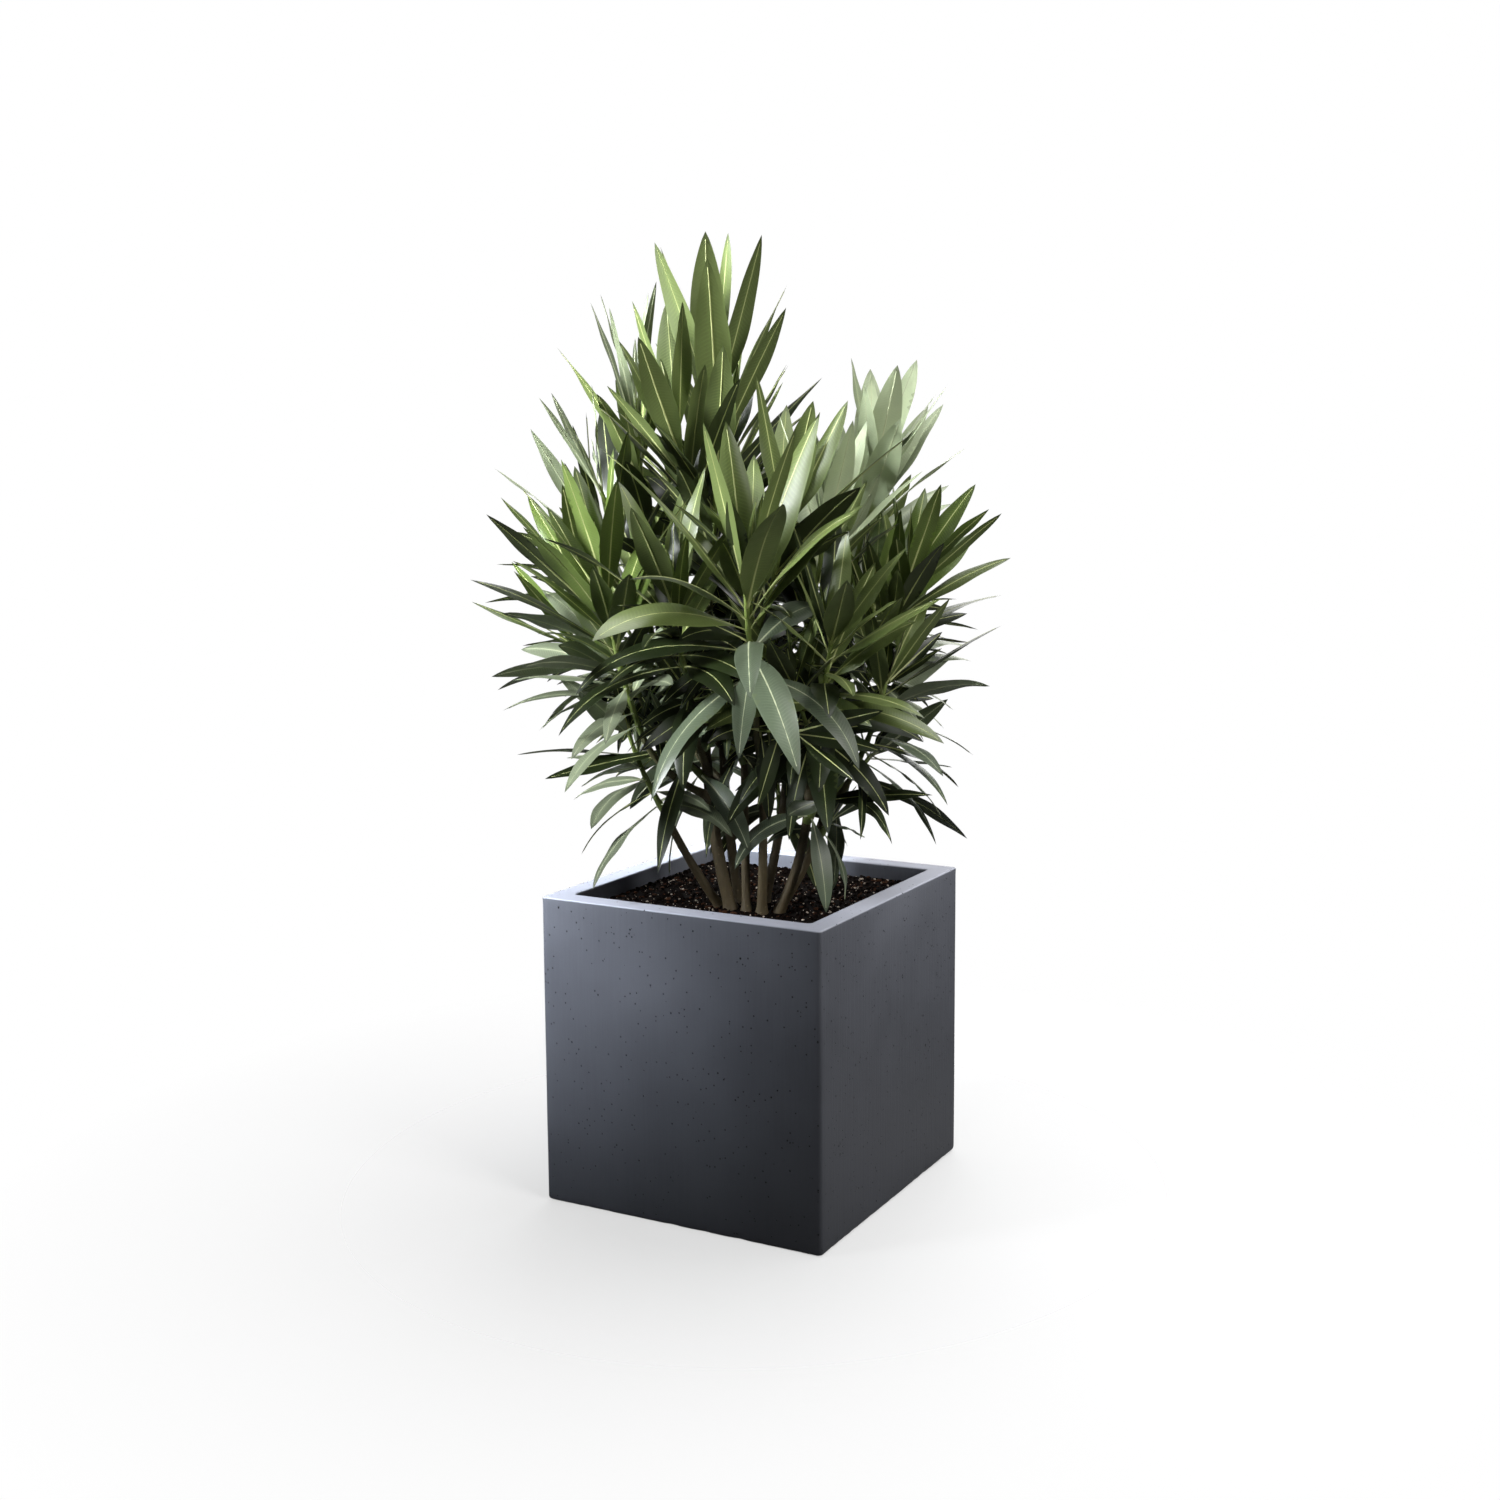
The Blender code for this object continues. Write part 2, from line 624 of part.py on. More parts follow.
def fuse(item, others):
    """Joins the other objects to item with one exact Boolean union, then removes them."""
    group = bpy.data.collections.new(item.name + "_pieces")
    bpy.context.scene.collection.children.link(group)
    for other in others:
        bpy.context.scene.collection.objects.unlink(other)
        group.objects.link(other)
    union = item.modifiers.new("Union", "BOOLEAN")
    union.operation = "UNION"
    union.operand_type = "COLLECTION"
    union.collection = group
    union.solver = "EXACT"
    graph = bpy.context.evaluated_depsgraph_get()
    fused = bpy.data.meshes.new_from_object(item.evaluated_get(graph))
    item.modifiers.remove(union)
    item.data = fused
    for other in others:
        bpy.data.objects.remove(other, do_unlink=True)
    bpy.data.collections.remove(group)
    keep_largest_body(item.data)


def body_from(face, unseen):
    """All faces joined to this one, taken out of unseen."""
    unseen.discard(face)
    body = [face]
    for member in body:
        for edge in member.edges:
            for neighbour in edge.link_faces:
                if neighbour in unseen:
                    unseen.discard(neighbour)
                    body.append(neighbour)
    return body


def keep_largest_body(mesh):
    """Drops every loose scrap, and every shell inside that closes off a hollow."""
    shape = bmesh.new()
    shape.from_mesh(mesh)
    unseen = set(shape.faces)
    bodies = [body_from(face, unseen) for face in shape.faces if face in unseen]
    largest = max(bodies, key=len)
    scraps = [face for body in bodies if body is not largest for face in body]
    bmesh.ops.delete(shape, geom=scraps, context="FACES")
    shape.to_mesh(mesh)
    shape.free()


def build_masses(limbs):
    """One object for each mass: its stem with the side twigs and leaves fused on."""
    twigs = grow_crown(limbs)
    for stem in [twig for twig in twigs if twig.name == twig.mass]:
        item = lofted(stem.name, stem.limb.rings(), smooth=False)
        pieces = []
        for twig in [twig for twig in twigs if twig.mass == stem.name]:
            if twig is not stem:
                pieces.append(lofted(twig.name, twig.limb.rings(), smooth=False))
            for number, aim in enumerate(twig.leaves):
                pieces.append(mesh_object(f"{twig.name}_leaf_{number}", *leaf_mesh(aim)))
        fuse(item, pieces)
        paint(item, "foliage")


def main():
    clear_scene()
    build_planter()
    build_soil()
    limbs = build_canes()
    build_boughs(limbs)
    build_masses(limbs)


if __name__ == "__main__":
    main()
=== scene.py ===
"""Potted oleander: the finished planter, soil, canes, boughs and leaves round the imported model.

Metres, +Z up. The file is laid out as an add-on and is run as a script: each operator makes one
piece or one group of like pieces, and main() calls them in order. The growth of the limbs and
leaves follows the same seeded rule as the solids, which it then carries on to finer leaves.
"""

import json
import math
from random import Random

import bmesh
import bpy
import numpy as np
from bpy.props import FloatProperty, FloatVectorProperty, IntProperty, PointerProperty
from mathutils import Matrix, Vector, noise
from mathutils.bvhtree import BVHTree

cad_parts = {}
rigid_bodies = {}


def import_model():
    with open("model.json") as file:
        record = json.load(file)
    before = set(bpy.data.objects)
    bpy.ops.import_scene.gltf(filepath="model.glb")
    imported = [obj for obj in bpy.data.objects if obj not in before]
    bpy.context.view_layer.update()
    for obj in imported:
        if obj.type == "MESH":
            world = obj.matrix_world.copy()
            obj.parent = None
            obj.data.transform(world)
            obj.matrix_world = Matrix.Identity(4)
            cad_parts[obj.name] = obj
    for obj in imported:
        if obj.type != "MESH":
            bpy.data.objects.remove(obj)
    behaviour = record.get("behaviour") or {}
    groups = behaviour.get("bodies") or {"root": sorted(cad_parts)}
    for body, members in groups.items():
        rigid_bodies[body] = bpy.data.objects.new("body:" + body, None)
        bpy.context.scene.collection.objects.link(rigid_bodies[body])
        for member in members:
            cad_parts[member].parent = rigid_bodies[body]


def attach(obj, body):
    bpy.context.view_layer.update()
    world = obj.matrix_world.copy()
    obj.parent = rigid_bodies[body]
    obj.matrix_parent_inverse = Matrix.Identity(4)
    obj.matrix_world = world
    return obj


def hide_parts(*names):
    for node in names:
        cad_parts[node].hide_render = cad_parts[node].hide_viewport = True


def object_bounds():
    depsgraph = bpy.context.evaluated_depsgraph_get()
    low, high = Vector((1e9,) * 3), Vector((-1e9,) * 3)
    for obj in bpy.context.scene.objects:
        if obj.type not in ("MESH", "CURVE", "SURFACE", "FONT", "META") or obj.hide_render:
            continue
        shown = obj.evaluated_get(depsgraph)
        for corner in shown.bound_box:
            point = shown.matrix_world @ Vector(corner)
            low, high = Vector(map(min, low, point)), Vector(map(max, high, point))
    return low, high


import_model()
CAD_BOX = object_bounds()

bl_info = {
    "name": "Potted oleander",
    "version": (1, 0, 0),
    "blender": (4, 5, 0),
    "location": "View3D > Sidebar > Oleander",
    "description": "Makes the planter, soil, bark and leaves of a potted oleander",
    "category": "Object",
}

# ---- Sizes shared with the solids, in metres and degrees

PLANTER_SIDE = 0.300
WALL = 0.0224
FLOOR = 0.020
CORNER_RADIUS = 0.0035
INNER_CORNER_RADIUS = 0.0050
FOOT_RADIUS = 0.0045
RIM_RADIUS = 0.0015
SOIL_TOP = PLANTER_SIDE - 0.013
GAP = 0.0003

PLANT_AXIS_X = 0.0225
PLANT_AXIS_Y = -0.0558
PLANT_TURN = 26.7

CANE_SIDES = 8
BOUGH_SIDES = 6
RING_SPACING = 0.035
LIMB_TAPER = 0.72

TWIG_SIDES = 3
TWIG_RADIUS = 0.0034
TWIG_TIP_RADIUS = 0.0022
TWIG_BOW = 0.06
SIDE_TWIG_FIRST_SHARE = 0.12
SIDE_TWIG_STEP = 0.22
SIDE_TWIG_LENGTH = (0.50, 0.68)
SIDE_TWIG_THINNESS = 0.87
SIDE_TWIG_SPREAD = 0.42
SIDE_TWIG_TURN_JITTER = 20
SIDE_TWIG_TRIES = 6
SIDE_TWIG_LEAF_LENGTH = 0.88
SIDE_TWIG_PHASE = 40
SIDE_TWIG_FEWER_WHORLS = 3
FEWEST_WHORLS = 3
GOLDEN_ANGLE = 137.5

LEAVES_IN_WHORL = 3
WHORL_TURN = 60
TOP_WHORL_SHARE = 0.95
WHORL_SPAN = 0.87
WHORL_CROWDING = 1.15
ANGLE_EASE = 1.1
TOP_LEAF_LENGTH = 0.80
LENGTH_GAIN = 0.12
OLD_LEAF_LOSS = 0.20
TOP_DROOP = 0.12
DROOP_EASE = 1.3

TURN_JITTER = 7
ANGLE_JITTER = 4
ROLL_JITTER = 14
LENGTH_RANGE = (0.92, 1.06)
DROOP_RANGE = (0.8, 1.2)
LEAF_TRIES = 9
SHORTER_EACH_TRY = 0.025

LEAF_WIDTH = 0.190
LEAF_THICKNESS = 0.0120
LEAF_ROOT_WIDTH = 0.06
LEAF_ROOT_OFFSET = 0.0011
LEAF_STEPS = 12
LEAF_BEND = 1.6
LEAF_CURL = 0.35
LEAF_CLEARANCE = 0.0004
FREE_LEAF_SHARE = 0.14
PLANTER_CLEARANCE = 0.005
LEAF_STATIONS = ((0.0, LEAF_ROOT_WIDTH), (0.30, 0.90), (0.66, 0.94), (1.0, 0.0))

# Name, foot (azimuth, reach), tip (azimuth, reach, height), radius at the foot, bow.
CANES = (
    ("cane_1", (176, 0.026), (194, 0.080, 0.385), 0.0046, 0.04),
    ("cane_2", (216, 0.019), (196, 0.040, 0.452), 0.0062, 0.05),
    ("cane_3", (140, 0.010), (155, 0.027, 0.440), 0.0045, 0.04),
    ("cane_4", (268, 0.020), (262, 0.014, 0.445), 0.0044, 0.02),
    ("cane_5", (300, 0.028), (295, 0.040, 0.415), 0.0048, 0.04),
    ("cane_6", (325, 0.036), (330, 0.070, 0.440), 0.0050, 0.12),
    ("cane_7", (350, 0.030), (352, 0.080, 0.412), 0.0044, 0.10),
    ("cane_8", (50, 0.022), (50, 0.060, 0.440), 0.0048, 0.06),
    ("cane_9", (110, 0.032), (112, 0.075, 0.440), 0.0048, 0.06),
)

# Name, limb that it grows from, share of that limb's length where it starts (1 is the tip),
# tip (azimuth, reach, height), radius at its start, bow.
BOUGHS = (
    ("bough_top", "cane_2", 1.0, (184, 0.034, 0.610), 0.0042, 0.03),
    ("bough_left_front", "cane_2", 0.66, (212, 0.108, 0.460), 0.0036, 0.16),
    ("bough_front_left", "cane_2", 0.80, (238, 0.085, 0.500), 0.0034, 0.14),
    ("bough_top_left", "cane_3", 1.0, (150, 0.092, 0.560), 0.0038, 0.10),
    ("bough_left", "cane_3", 0.74, (180, 0.100, 0.490), 0.0034, 0.16),
    ("bough_centre_high", "cane_4", 1.0, (272, 0.060, 0.530), 0.0036, 0.06),
    ("bough_centre_front", "cane_5", 1.0, (276, 0.125, 0.518), 0.0036, 0.14),
    ("bough_inner_right", "cane_6", 0.74, (336, 0.050, 0.520), 0.0034, 0.08),
    ("bough_right", "cane_7", 1.0, (0, 0.105, 0.490), 0.0034, 0.06),
    ("bough_right_low", "cane_7", 0.80, (338, 0.110, 0.430), 0.0032, 0.14),
    ("bough_right_high", "cane_8", 1.0, (28, 0.095, 0.560), 0.0038, 0.06),
    ("bough_back_right", "cane_8", 0.72, (50, 0.125, 0.490), 0.0034, 0.14),
    ("bough_back_high", "cane_9", 1.0, (98, 0.085, 0.590), 0.0038, 0.05),
    ("bough_back_left", "cane_9", 0.70, (135, 0.125, 0.490), 0.0034, 0.14),
)

# Name, limb, share of the limb where the stem starts, stem tip (azimuth, reach, height), leaf
# length, whorls, angle of the top leaves and of the lowest to the stem, droop of the lowest,
# phase of the first whorl, side twigs.
MASSES = (
    ("foliage_centre_front", "bough_centre_front", 1.0, (273, 0.165, 0.606), 0.190, 5, 14, 100, 1.3, 85, 0),
    ("foliage_centre_high", "bough_centre_high", 1.0, (296, 0.092, 0.655), 0.170, 6, 20, 78, 0.6, 20, 1),
    ("foliage_top", "bough_top", 1.0, (185, 0.030, 0.785), 0.176, 7, 13, 52, 0.3, 20, 1),
    ("foliage_left_front", "bough_left_front", 1.0, (214, 0.148, 0.610), 0.145, 7, 12, 78, 0.7, 100, 0),
    ("foliage_front_left", "bough_front_left", 1.0, (240, 0.120, 0.590), 0.150, 5, 24, 92, 1.0, 0, 0),
    ("foliage_right_front", "cane_6", 1.0, (306, 0.138, 0.556), 0.150, 6, 26, 92, 0.9, 10, 1),
    ("foliage_inner_right", "bough_inner_right", 1.0, (330, 0.084, 0.640), 0.150, 5, 20, 80, 0.6, 40, 0),
    ("foliage_right_high", "bough_right_high", 1.0, (17, 0.124, 0.698), 0.148, 7, 18, 72, 0.4, 30, 1),
    ("foliage_left", "bough_left", 1.0, (182, 0.150, 0.595), 0.148, 6, 20, 76, 0.5, 40, 1),
    ("foliage_right", "bough_right", 1.0, (0, 0.152, 0.606), 0.138, 6, 20, 76, 0.6, 20, 1),
    ("foliage_top_left", "bough_top_left", 1.0, (154, 0.118, 0.768), 0.148, 7, 14, 74, 0.6, 60, 1),
    ("foliage_right_low", "bough_right_low", 1.0, (344, 0.136, 0.512), 0.138, 6, 30, 96, 1.0, 50, 0),
    ("foliage_left_low", "cane_1", 1.0, (194, 0.112, 0.462), 0.130, 4, 50, 95, 0.8, 0, 0),
    ("foliage_left_back", "bough_top_left", 0.45, (158, 0.165, 0.650), 0.145, 6, 16, 76, 0.5, 0, 0),
    ("foliage_back_high", "bough_back_high", 1.0, (108, 0.096, 0.722), 0.155, 7, 14, 72, 0.4, 10, 2),
    ("foliage_back_right", "bough_back_right", 1.0, (48, 0.160, 0.590), 0.150, 6, 18, 86, 0.8, 50, 1),
    ("foliage_back_left", "bough_back_left", 1.0, (132, 0.160, 0.590), 0.150, 6, 18, 86, 0.8, 30, 1),
    ("foliage_back_low", "cane_9", 0.80, (92, 0.140, 0.500), 0.145, 5, 28, 100, 1.2, 0, 0),
    ("foliage_skirt_front", "cane_6", 0.62, (322, 0.088, 0.402), 0.130, 2, 60, 110, 1.6, 30, 0),
    ("foliage_skirt_left", "cane_2", 0.76, (208, 0.074, 0.448), 0.145, 3, 65, 108, 1.3, 0, 0),
    ("foliage_skirt_middle", "cane_4", 0.90, (238, 0.044, 0.476), 0.140, 2, 70, 110, 1.2, 0, 0),
    ("foliage_skirt_right", "cane_7", 0.55, (345, 0.080, 0.375), 0.105, 2, 60, 105, 1.5, 60, 0),
    ("foliage_skirt_low_right", "cane_7", 0.86, (8, 0.118, 0.432), 0.140, 3, 50, 100, 0.9, 20, 0),
    ("foliage_skirt_back", "cane_8", 0.55, (70, 0.075, 0.395), 0.120, 3, 50, 110, 1.5, 0, 0),
)

# ---- Sizes of the finish

# Faces that meet at more than these angles keep a crisp edge, such as a leaf's margin.
SHARP_ANGLE = 70
CLAY_SHARP_ANGLE = 35
SOIL_SHARP_ANGLE = 60

# The map that says how far across and along a limb or leaf each place lies.
FLOW_MAP = "Flow"

# Planter: signs of a square's corners in turn, mesh pitch, steps of its rounded edges, how far its
# cast faces and its worn foot are out of true, the relief of its holes, and how far below its top
# the rim's dust starts and ends.
SQUARE_CORNERS = ((1, 1), (-1, 1), (-1, -1), (1, -1))
CLAY_PITCH = 0.006
FOOT_STEPS = 6
RIM_STEPS = 4
CORNER_STEPS = 4
CLAY_UNEVEN = 0.00035
CLAY_SPECULAR = 0.12
FOOT_WEAR = 0.0016
FOOT_WEAR_HEIGHT = 0.010
CLAY_RELIEF = 0.00022
RIM_DUST = (0.0016, 0.0004)

# Soil: mesh pitch, height of its clods and of the mound round the canes, the dip by the walls, and
# the name, seed, smallest and largest size and flatness of each kind of crumb.
SOIL_PITCH = 0.0026
SOIL_CLODS = 0.0026
SOIL_MOUND = 0.004
SOIL_MOUND_REACH = 0.055
SOIL_DIP = 0.0025
SOIL_DIP_REACH = 0.020
SOIL_SPECULAR = 0.03
SOIL_RELIEF = 0.0005
CRUMBS = (
    ("soil_crumbs", 11, (0.0009, 0.0030), 0.5),
    ("soil_bark_chips", 23, (0.0009, 0.0032), 0.2),
    ("soil_specks", 37, (0.0005, 0.0017), 0.5),
)

# Bark: sides and ring pitch of the fine limbs, relief and its ridges, leaf scars, the flare of a
# cane's foot and how deep it is sunk, and the collar of a limb that grows from another.
BARK_SIDES = 18
BARK_PITCH = 0.0030
BARK_RELIEF = 0.00022
BARK_RIDGES = 22
BARK_GRAIN = 420
PORE_RELIEF = 0.0004
SCAR_SPACING = 0.021
SCAR_HEIGHT = 0.00032
SCAR_LENGTH = 0.0016
CANE_FLARE = 0.45
CANE_FLARE_HEIGHT = 0.014
CANE_SUNK = 0.004
LIMB_END_WIDTH = 0.55
LIMB_END_RISE = 0.0008
COLLAR_INSET = 0.97
COLLAR_WIDTH = 1.35
COLLAR_LENGTH = 0.007

# Green stems: sides and ring pitch, how much slimmer than the coarse ones, swelling at a whorl.
STEM_SIDES = 10
STEM_PITCH = 0.006
STEM_SLIMNESS = 0.84
STEM_NODE_SWELLING = 0.22
STEM_NODE_LENGTH = 0.004
STEM_RELIEF = 0.0002
STEM_END_WIDTH = 0.35
STEM_END_RISE = 0.004

# Fine leaves: stations along the blade, widest place, thickness, columns across its face and its
# back with their place on the map, outline, how much each colour gains at the blade's foot, relief,
# the ranges of a leaf's own form, and the midrib's half widths.
BLADE_STATIONS = 18
BLADE_WIDEST = 0.46
BLADE_THICKNESS = 0.0004
BLADE_START = 0.035
BLADE_SWAY = 0.05
BLADE_COLUMNS = (-1.0, -0.5, 0.0, 0.5, 1.0)
BACK_COLUMNS = (0.5, 0.0, -0.5)
STRIP_STARTS = (0.0, 0.25, 0.5, 0.75, 3.0, 2.75, 2.5, 2.25)
STRIP_ENDS = (0.25, 0.5, 0.75, 1.0, 2.75, 2.5, 2.25, 2.0)
BLADE_CROWDING = 0.94
BLADE_LEAST_WIDTH = 0.03
BLADE_FOOT_CURVE = 1.05
BLADE_TIP_CURVE = 0.80
LEAF_FOOT = (2.2, 2.0, 0.9)
LEAF_RELIEF = 0.00002
OWN_WIDTH = (0.82, 1.14)
OWN_FOLD = (0.6, 1.5)
OWN_ARCH = (0.10, 0.34)
OWN_WAVE = (0.3, 1.3)
OWN_RIPPLES = (1.2, 2.6)
MIDRIB_STATIONS = 12
MIDRIB_END = 0.95
MIDRIB_BASE = 0.00145
MIDRIB_TIP = 0.00055
MIDRIB_RISE = 0.00045
MIDRIB_KEEL = 0.0006
MIDRIB_TAPER = 1.2

# Leaves between the coarse rule's whorls, young leaves at each tip and shoots along the limbs.
BETWEEN_AGE = 0.3
FULL_TO_THE_TIP = ("foliage_right_high", "foliage_right_front", "foliage_right")
BETWEEN_LENGTH = 0.86
BETWEEN_TURN = 30
YOUNG_AGE = 0.25
YOUNG_LEAVES = 3
YOUNG_LEAF_LENGTH = 0.42
YOUNG_LEAF_SHARE = 0.99
YOUNG_LEAF_DROOP = 0.1
SHOOT_SHARES = (0.42, 0.60, 0.78, 0.95)
SHOOT_LENGTH = 0.050
SHOOT_LEAF_LENGTH = 0.108
SHOOT_WHORLS = 3
SHOOT_ANGLES = (30, 85)
SHOOT_DROOP = 0.7
SHOOT_LEAN = 0.6
SHOOT_LOWEST = 0.462

# The tone of each mass: its leaves' colour from the youngest to the oldest whorls.
TONES = {
    # Pale is painted light: the haze and sheen of light on leaves, laid in as a pale colour.
    "foliage_right_high": ("pale", "pale", "pale"),
    "foliage_inner_right": ("pale", "mid", "deep"),
    # Silver is partly painted sheen: the greyish colour of the leaves at left with their whitish sheen laid
    # in.
    "foliage_top_left": ("silver", "mid", "deep"),
    "foliage_left_front": ("fresh", "fresh", "silver"),
    "foliage_left": ("fresh", "silver", "silver"),
    "foliage_left_back": ("silver", "mid", "silver"),
    "foliage_centre_front": ("mid", "mid", "grey"),
    "foliage_left_low": ("silver", "silver", "silver"),
    "foliage_right_low": ("mid", "silver", "grey"),
    "foliage_right": ("fresh", "mid", "silver"),
    "foliage_back_low": ("deep", "grey", "grey"),
}
TONE_AGES = (0.30, 0.60)
# The near-black tone is painted shade: it stands in for the shade inside the crown on old whorls and on
# every shoot.
USUAL_TONES = ("mid", "mid", "deep")
# Grey is partly painted reflection: the lower leaves' grey-green with the bluish sheen of the bright
# surroundings laid in.
SKIRT_TONES = ("grey", "grey", "grey")
SHOOT_TONES = ("deep", "deep", "deep")
# Share of each tone's leaves turned to the near-black tone, as painted shade scattered through the crown.
DARKER_SHARE = {"deep": 1.0, "mid": 0.20, "fresh": 0.08, "pale": 0.0, "grey": 0.42, "silver": 0.15}

# The tones whose midribs are pale rather than yellow.
PALE_RIBBED = ("pale", "silver", "grey")

# How much lighter than the blade its margin, its veins and the strips by its midrib are.
LEAF_LIGHT = 2.1
PALE_LIGHT = 1.35
LEAF_SPECULAR = 0.50

# Masses whose youngest leaves are slender or broad, with their width as a share of the usual one.
YOUNG_WIDTH = {
    "foliage_top_left": 0.42,
    "foliage_left_back": 0.62,
    "foliage_left": 0.75,
    "foliage_right_high": 1.2,
}

# Name, place, aim, size, power, beam angle and colour of each lamp. Two light the planter alone.
PLANTER_LAMPS = ("Low lamp", "Low side lamp")
LAMPS = (
    ("Key lamp", (-1.15, -1.15, 1.20), (-0.03, 0, 0.84), (0.8, 0.8), 9.5, 38, (0.94, 0.97, 1.0)),
    ("Low lamp", (-0.98, -1.23, 1.13), (-0.36, -0.15, 0.43), (0.2, 0.2), 7.6, 26, (0.88, 0.93, 1.0)),
    ("Low side lamp", (0.94, 0.12, 0.85), (0.15, 0.18, 0.61), (0.3, 0.3), 8.0, 83, (1.0, 1.0, 1.0)),
    ("Front lamp", (0.2, -2.0, 2.0), (0, 0, 0.80), (1.6, 0.9), 1.0, 34, (1.0, 1.0, 1.0)),
    ("Top lamp", (0.2, 0.2, 2.6), (0, 0, 0.4), (1.8, 1.8), 57.0, 180, (1.0, 1.0, 1.0)),
    ("Back lamp", (-0.9, 2.3, 1.3), (0, 0, 0.4), (1.6, 1.6), 26.0, 180, (1.0, 1.0, 1.0)),
    ("Side lamp", (2.2, -0.6, 1.4), (0, 0, 0.4), (1.0, 1.6), 36.0, 180, (1.0, 0.99, 0.97)),
)
FLOOR_RADIUS = 9.0
FLOOR_SIDES = 96
FLOOR_ROUGHNESS = 0.9

CAMERA_PLACE = (0.8771, -1.5365, 0.6959)
CAMERA_TILT = 83.034
CAMERA_TURN = 26.734
CAMERA_LENS = 43.85
CAMERA_SHIFT = (-0.0667, -0.0333)


# ---- Places and curves


def plant_place(azimuth, reach, height):
    """A point from its azimuth, reach and height about the plant's axis."""
    angle = math.radians(azimuth + PLANT_TURN)
    across = Vector((math.cos(angle), math.sin(angle), 0.0)) * reach
    return Vector((PLANT_AXIS_X, PLANT_AXIS_Y, height)) + across


def spoke(across, over, turn):
    """The direction at this turn from one direction towards another, square to it."""
    return across * math.cos(turn) + over * math.sin(turn)


def turns_round(sides):
    """The equal turns of a ring with this many sides."""
    return [math.tau * side / sides for side in range(sides)]


def ring_round(place, across, over, radius, turns):
    """A ring of points about a place."""
    return [place + spoke(across, over, turn) * radius for turn in turns]


def curve_point(ends, share):
    """A point on the quadratic curve from ends[0] to ends[2] that is pulled by ends[1]."""
    start, pull, stop = ends
    return start.lerp(pull, share).lerp(pull.lerp(stop, share), share)


def curve_direction(ends, share):
    start, pull, stop = ends
    return (pull - start).lerp(stop - pull, share).normalized()


def bowed(start, stop, bow):
    """The quadratic curve between two points that first runs outwards and then turns up."""
    middle = start.lerp(stop, 0.5)
    sideways = Vector((stop.x - start.x, stop.y - start.y, 0.0))
    length = (stop - start).length
    outwards = sideways.normalized() if sideways.length > 1e-6 else Vector()
    pull = middle + outwards * length * bow - Vector((0.0, 0.0, length * bow * 0.5))
    return start, pull, stop


def frames_along(ends, shares):
    """For each share of the curve its point, direction and two directions across it, without twist."""
    frames = []
    across = None
    for share in shares:
        direction = curve_direction(ends, share)
        if across is None:
            across = direction.orthogonal()
        across = (across - direction * across.dot(direction)).normalized()
        frames.append((curve_point(ends, share), direction, across, direction.cross(across)))
    return frames


def smooth_step(share):
    share = min(1.0, max(0.0, share))
    return share * share * (3 - 2 * share)


# ---- Mesh helpers


class Shape:
    """Points, faces and each face's (across, along) map corners, gathered for one piece."""

    def __init__(self):
        self.points = []
        self.faces = []
        self.corners = []

    def add(self, points, faces, corners):
        start = len(self.points)
        self.points += points
        self.faces += [tuple(index + start for index in face) for face in faces]
        self.corners += corners

    def piece(self, name, material, slot, nodes):
        """Finishes the piece, in place of the nodes."""
        mesh = bpy.data.meshes.new(name)
        mesh.from_pydata([tuple(point) for point in self.points], [], self.faces)
        flat = [value for face in self.corners for corner in face for value in corner]
        mesh.uv_layers.new(name=FLOW_MAP).data.foreach_set("uv", np.array(flat, np.float32))
        mesh.shade_smooth()
        mesh.set_sharp_from_angle(angle=math.radians(SHARP_ANGLE))
        finished_piece(name, mesh, material, nodes)


def new_object(name, data):
    """A new object with this mesh, lamp or camera, linked to the scene."""
    item = bpy.data.objects.new(name, data)
    bpy.context.scene.collection.objects.link(item)
    return item


def smooth_mesh(name, points, faces, sharp_angle):
    """A smooth mesh with its faces out and crisp edges where they meet at more than the angle."""
    shape = bmesh.new()
    corners = [shape.verts.new(point) for point in points]
    for face in faces:
        shape.faces.new([corners[index] for index in face])
    bmesh.ops.recalc_face_normals(shape, faces=shape.faces)
    mesh = bpy.data.meshes.new(name)
    shape.to_mesh(mesh)
    shape.free()
    mesh.shade_smooth()
    mesh.set_sharp_from_angle(angle=math.radians(sharp_angle))
    return mesh


def finished_piece(name, mesh, material, nodes):
    """The mesh as a piece that rides on the body, with its material and the nodes it stands for."""
    item = new_object(name, mesh)
    mesh.materials.append(material)
    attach(item, "root")
    if nodes:
        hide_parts(*nodes)


def ring_faces(first, second, count):
    """Quads between two rings of points that start at the indices first and second."""
    pairs = [(i, (i + 1) % count) for i in range(count)]
    return [(first + i, first + j, second + j, second + i) for i, j in pairs]


def lofted_shape(rings):
    """Points and faces through equal rings of points, with a flat cap on the first and last."""
    count = len(rings[0])
    points = [point for ring in rings for point in ring]
    faces = [tuple(range(count)), tuple(range(len(points) - count, len(points)))]
    for level in range(len(rings) - 1):
        faces += ring_faces(level * count, (level + 1) * count, count)
    return points, faces


def tube(rings, shares):
    """Points, faces and map corners of a tube with faces out, pointed at its last ring's middle."""
    count = len(rings[0])
    points = [point for ring in rings for point in ring]
    faces = [tuple(reversed(range(count)))]
    corners = [[(side / count, shares[0]) for side in reversed(range(count))]]
    for level in range(len(rings) - 1):
        low, high = shares[level], shares[level + 1]
        for side, face in enumerate(ring_faces(level * count, (level + 1) * count, count)):
            left, right = side / count, (side + 1) / count
            faces.append(face)
            corners.append([(left, low), (right, low), (right, high), (left, high)])
    tip = len(points)
    last, end = tip - count, shares[-1]
    points.append(sum(rings[-1], Vector()) / count)
    for side in range(count):
        left, right = side / count, (side + 1) / count
        faces.append((last + side, last + (side + 1) % count, tip))
        corners.append([(left, end), (right, end), (left, end)])
    return points, faces, corners


# ---- Shader nodes


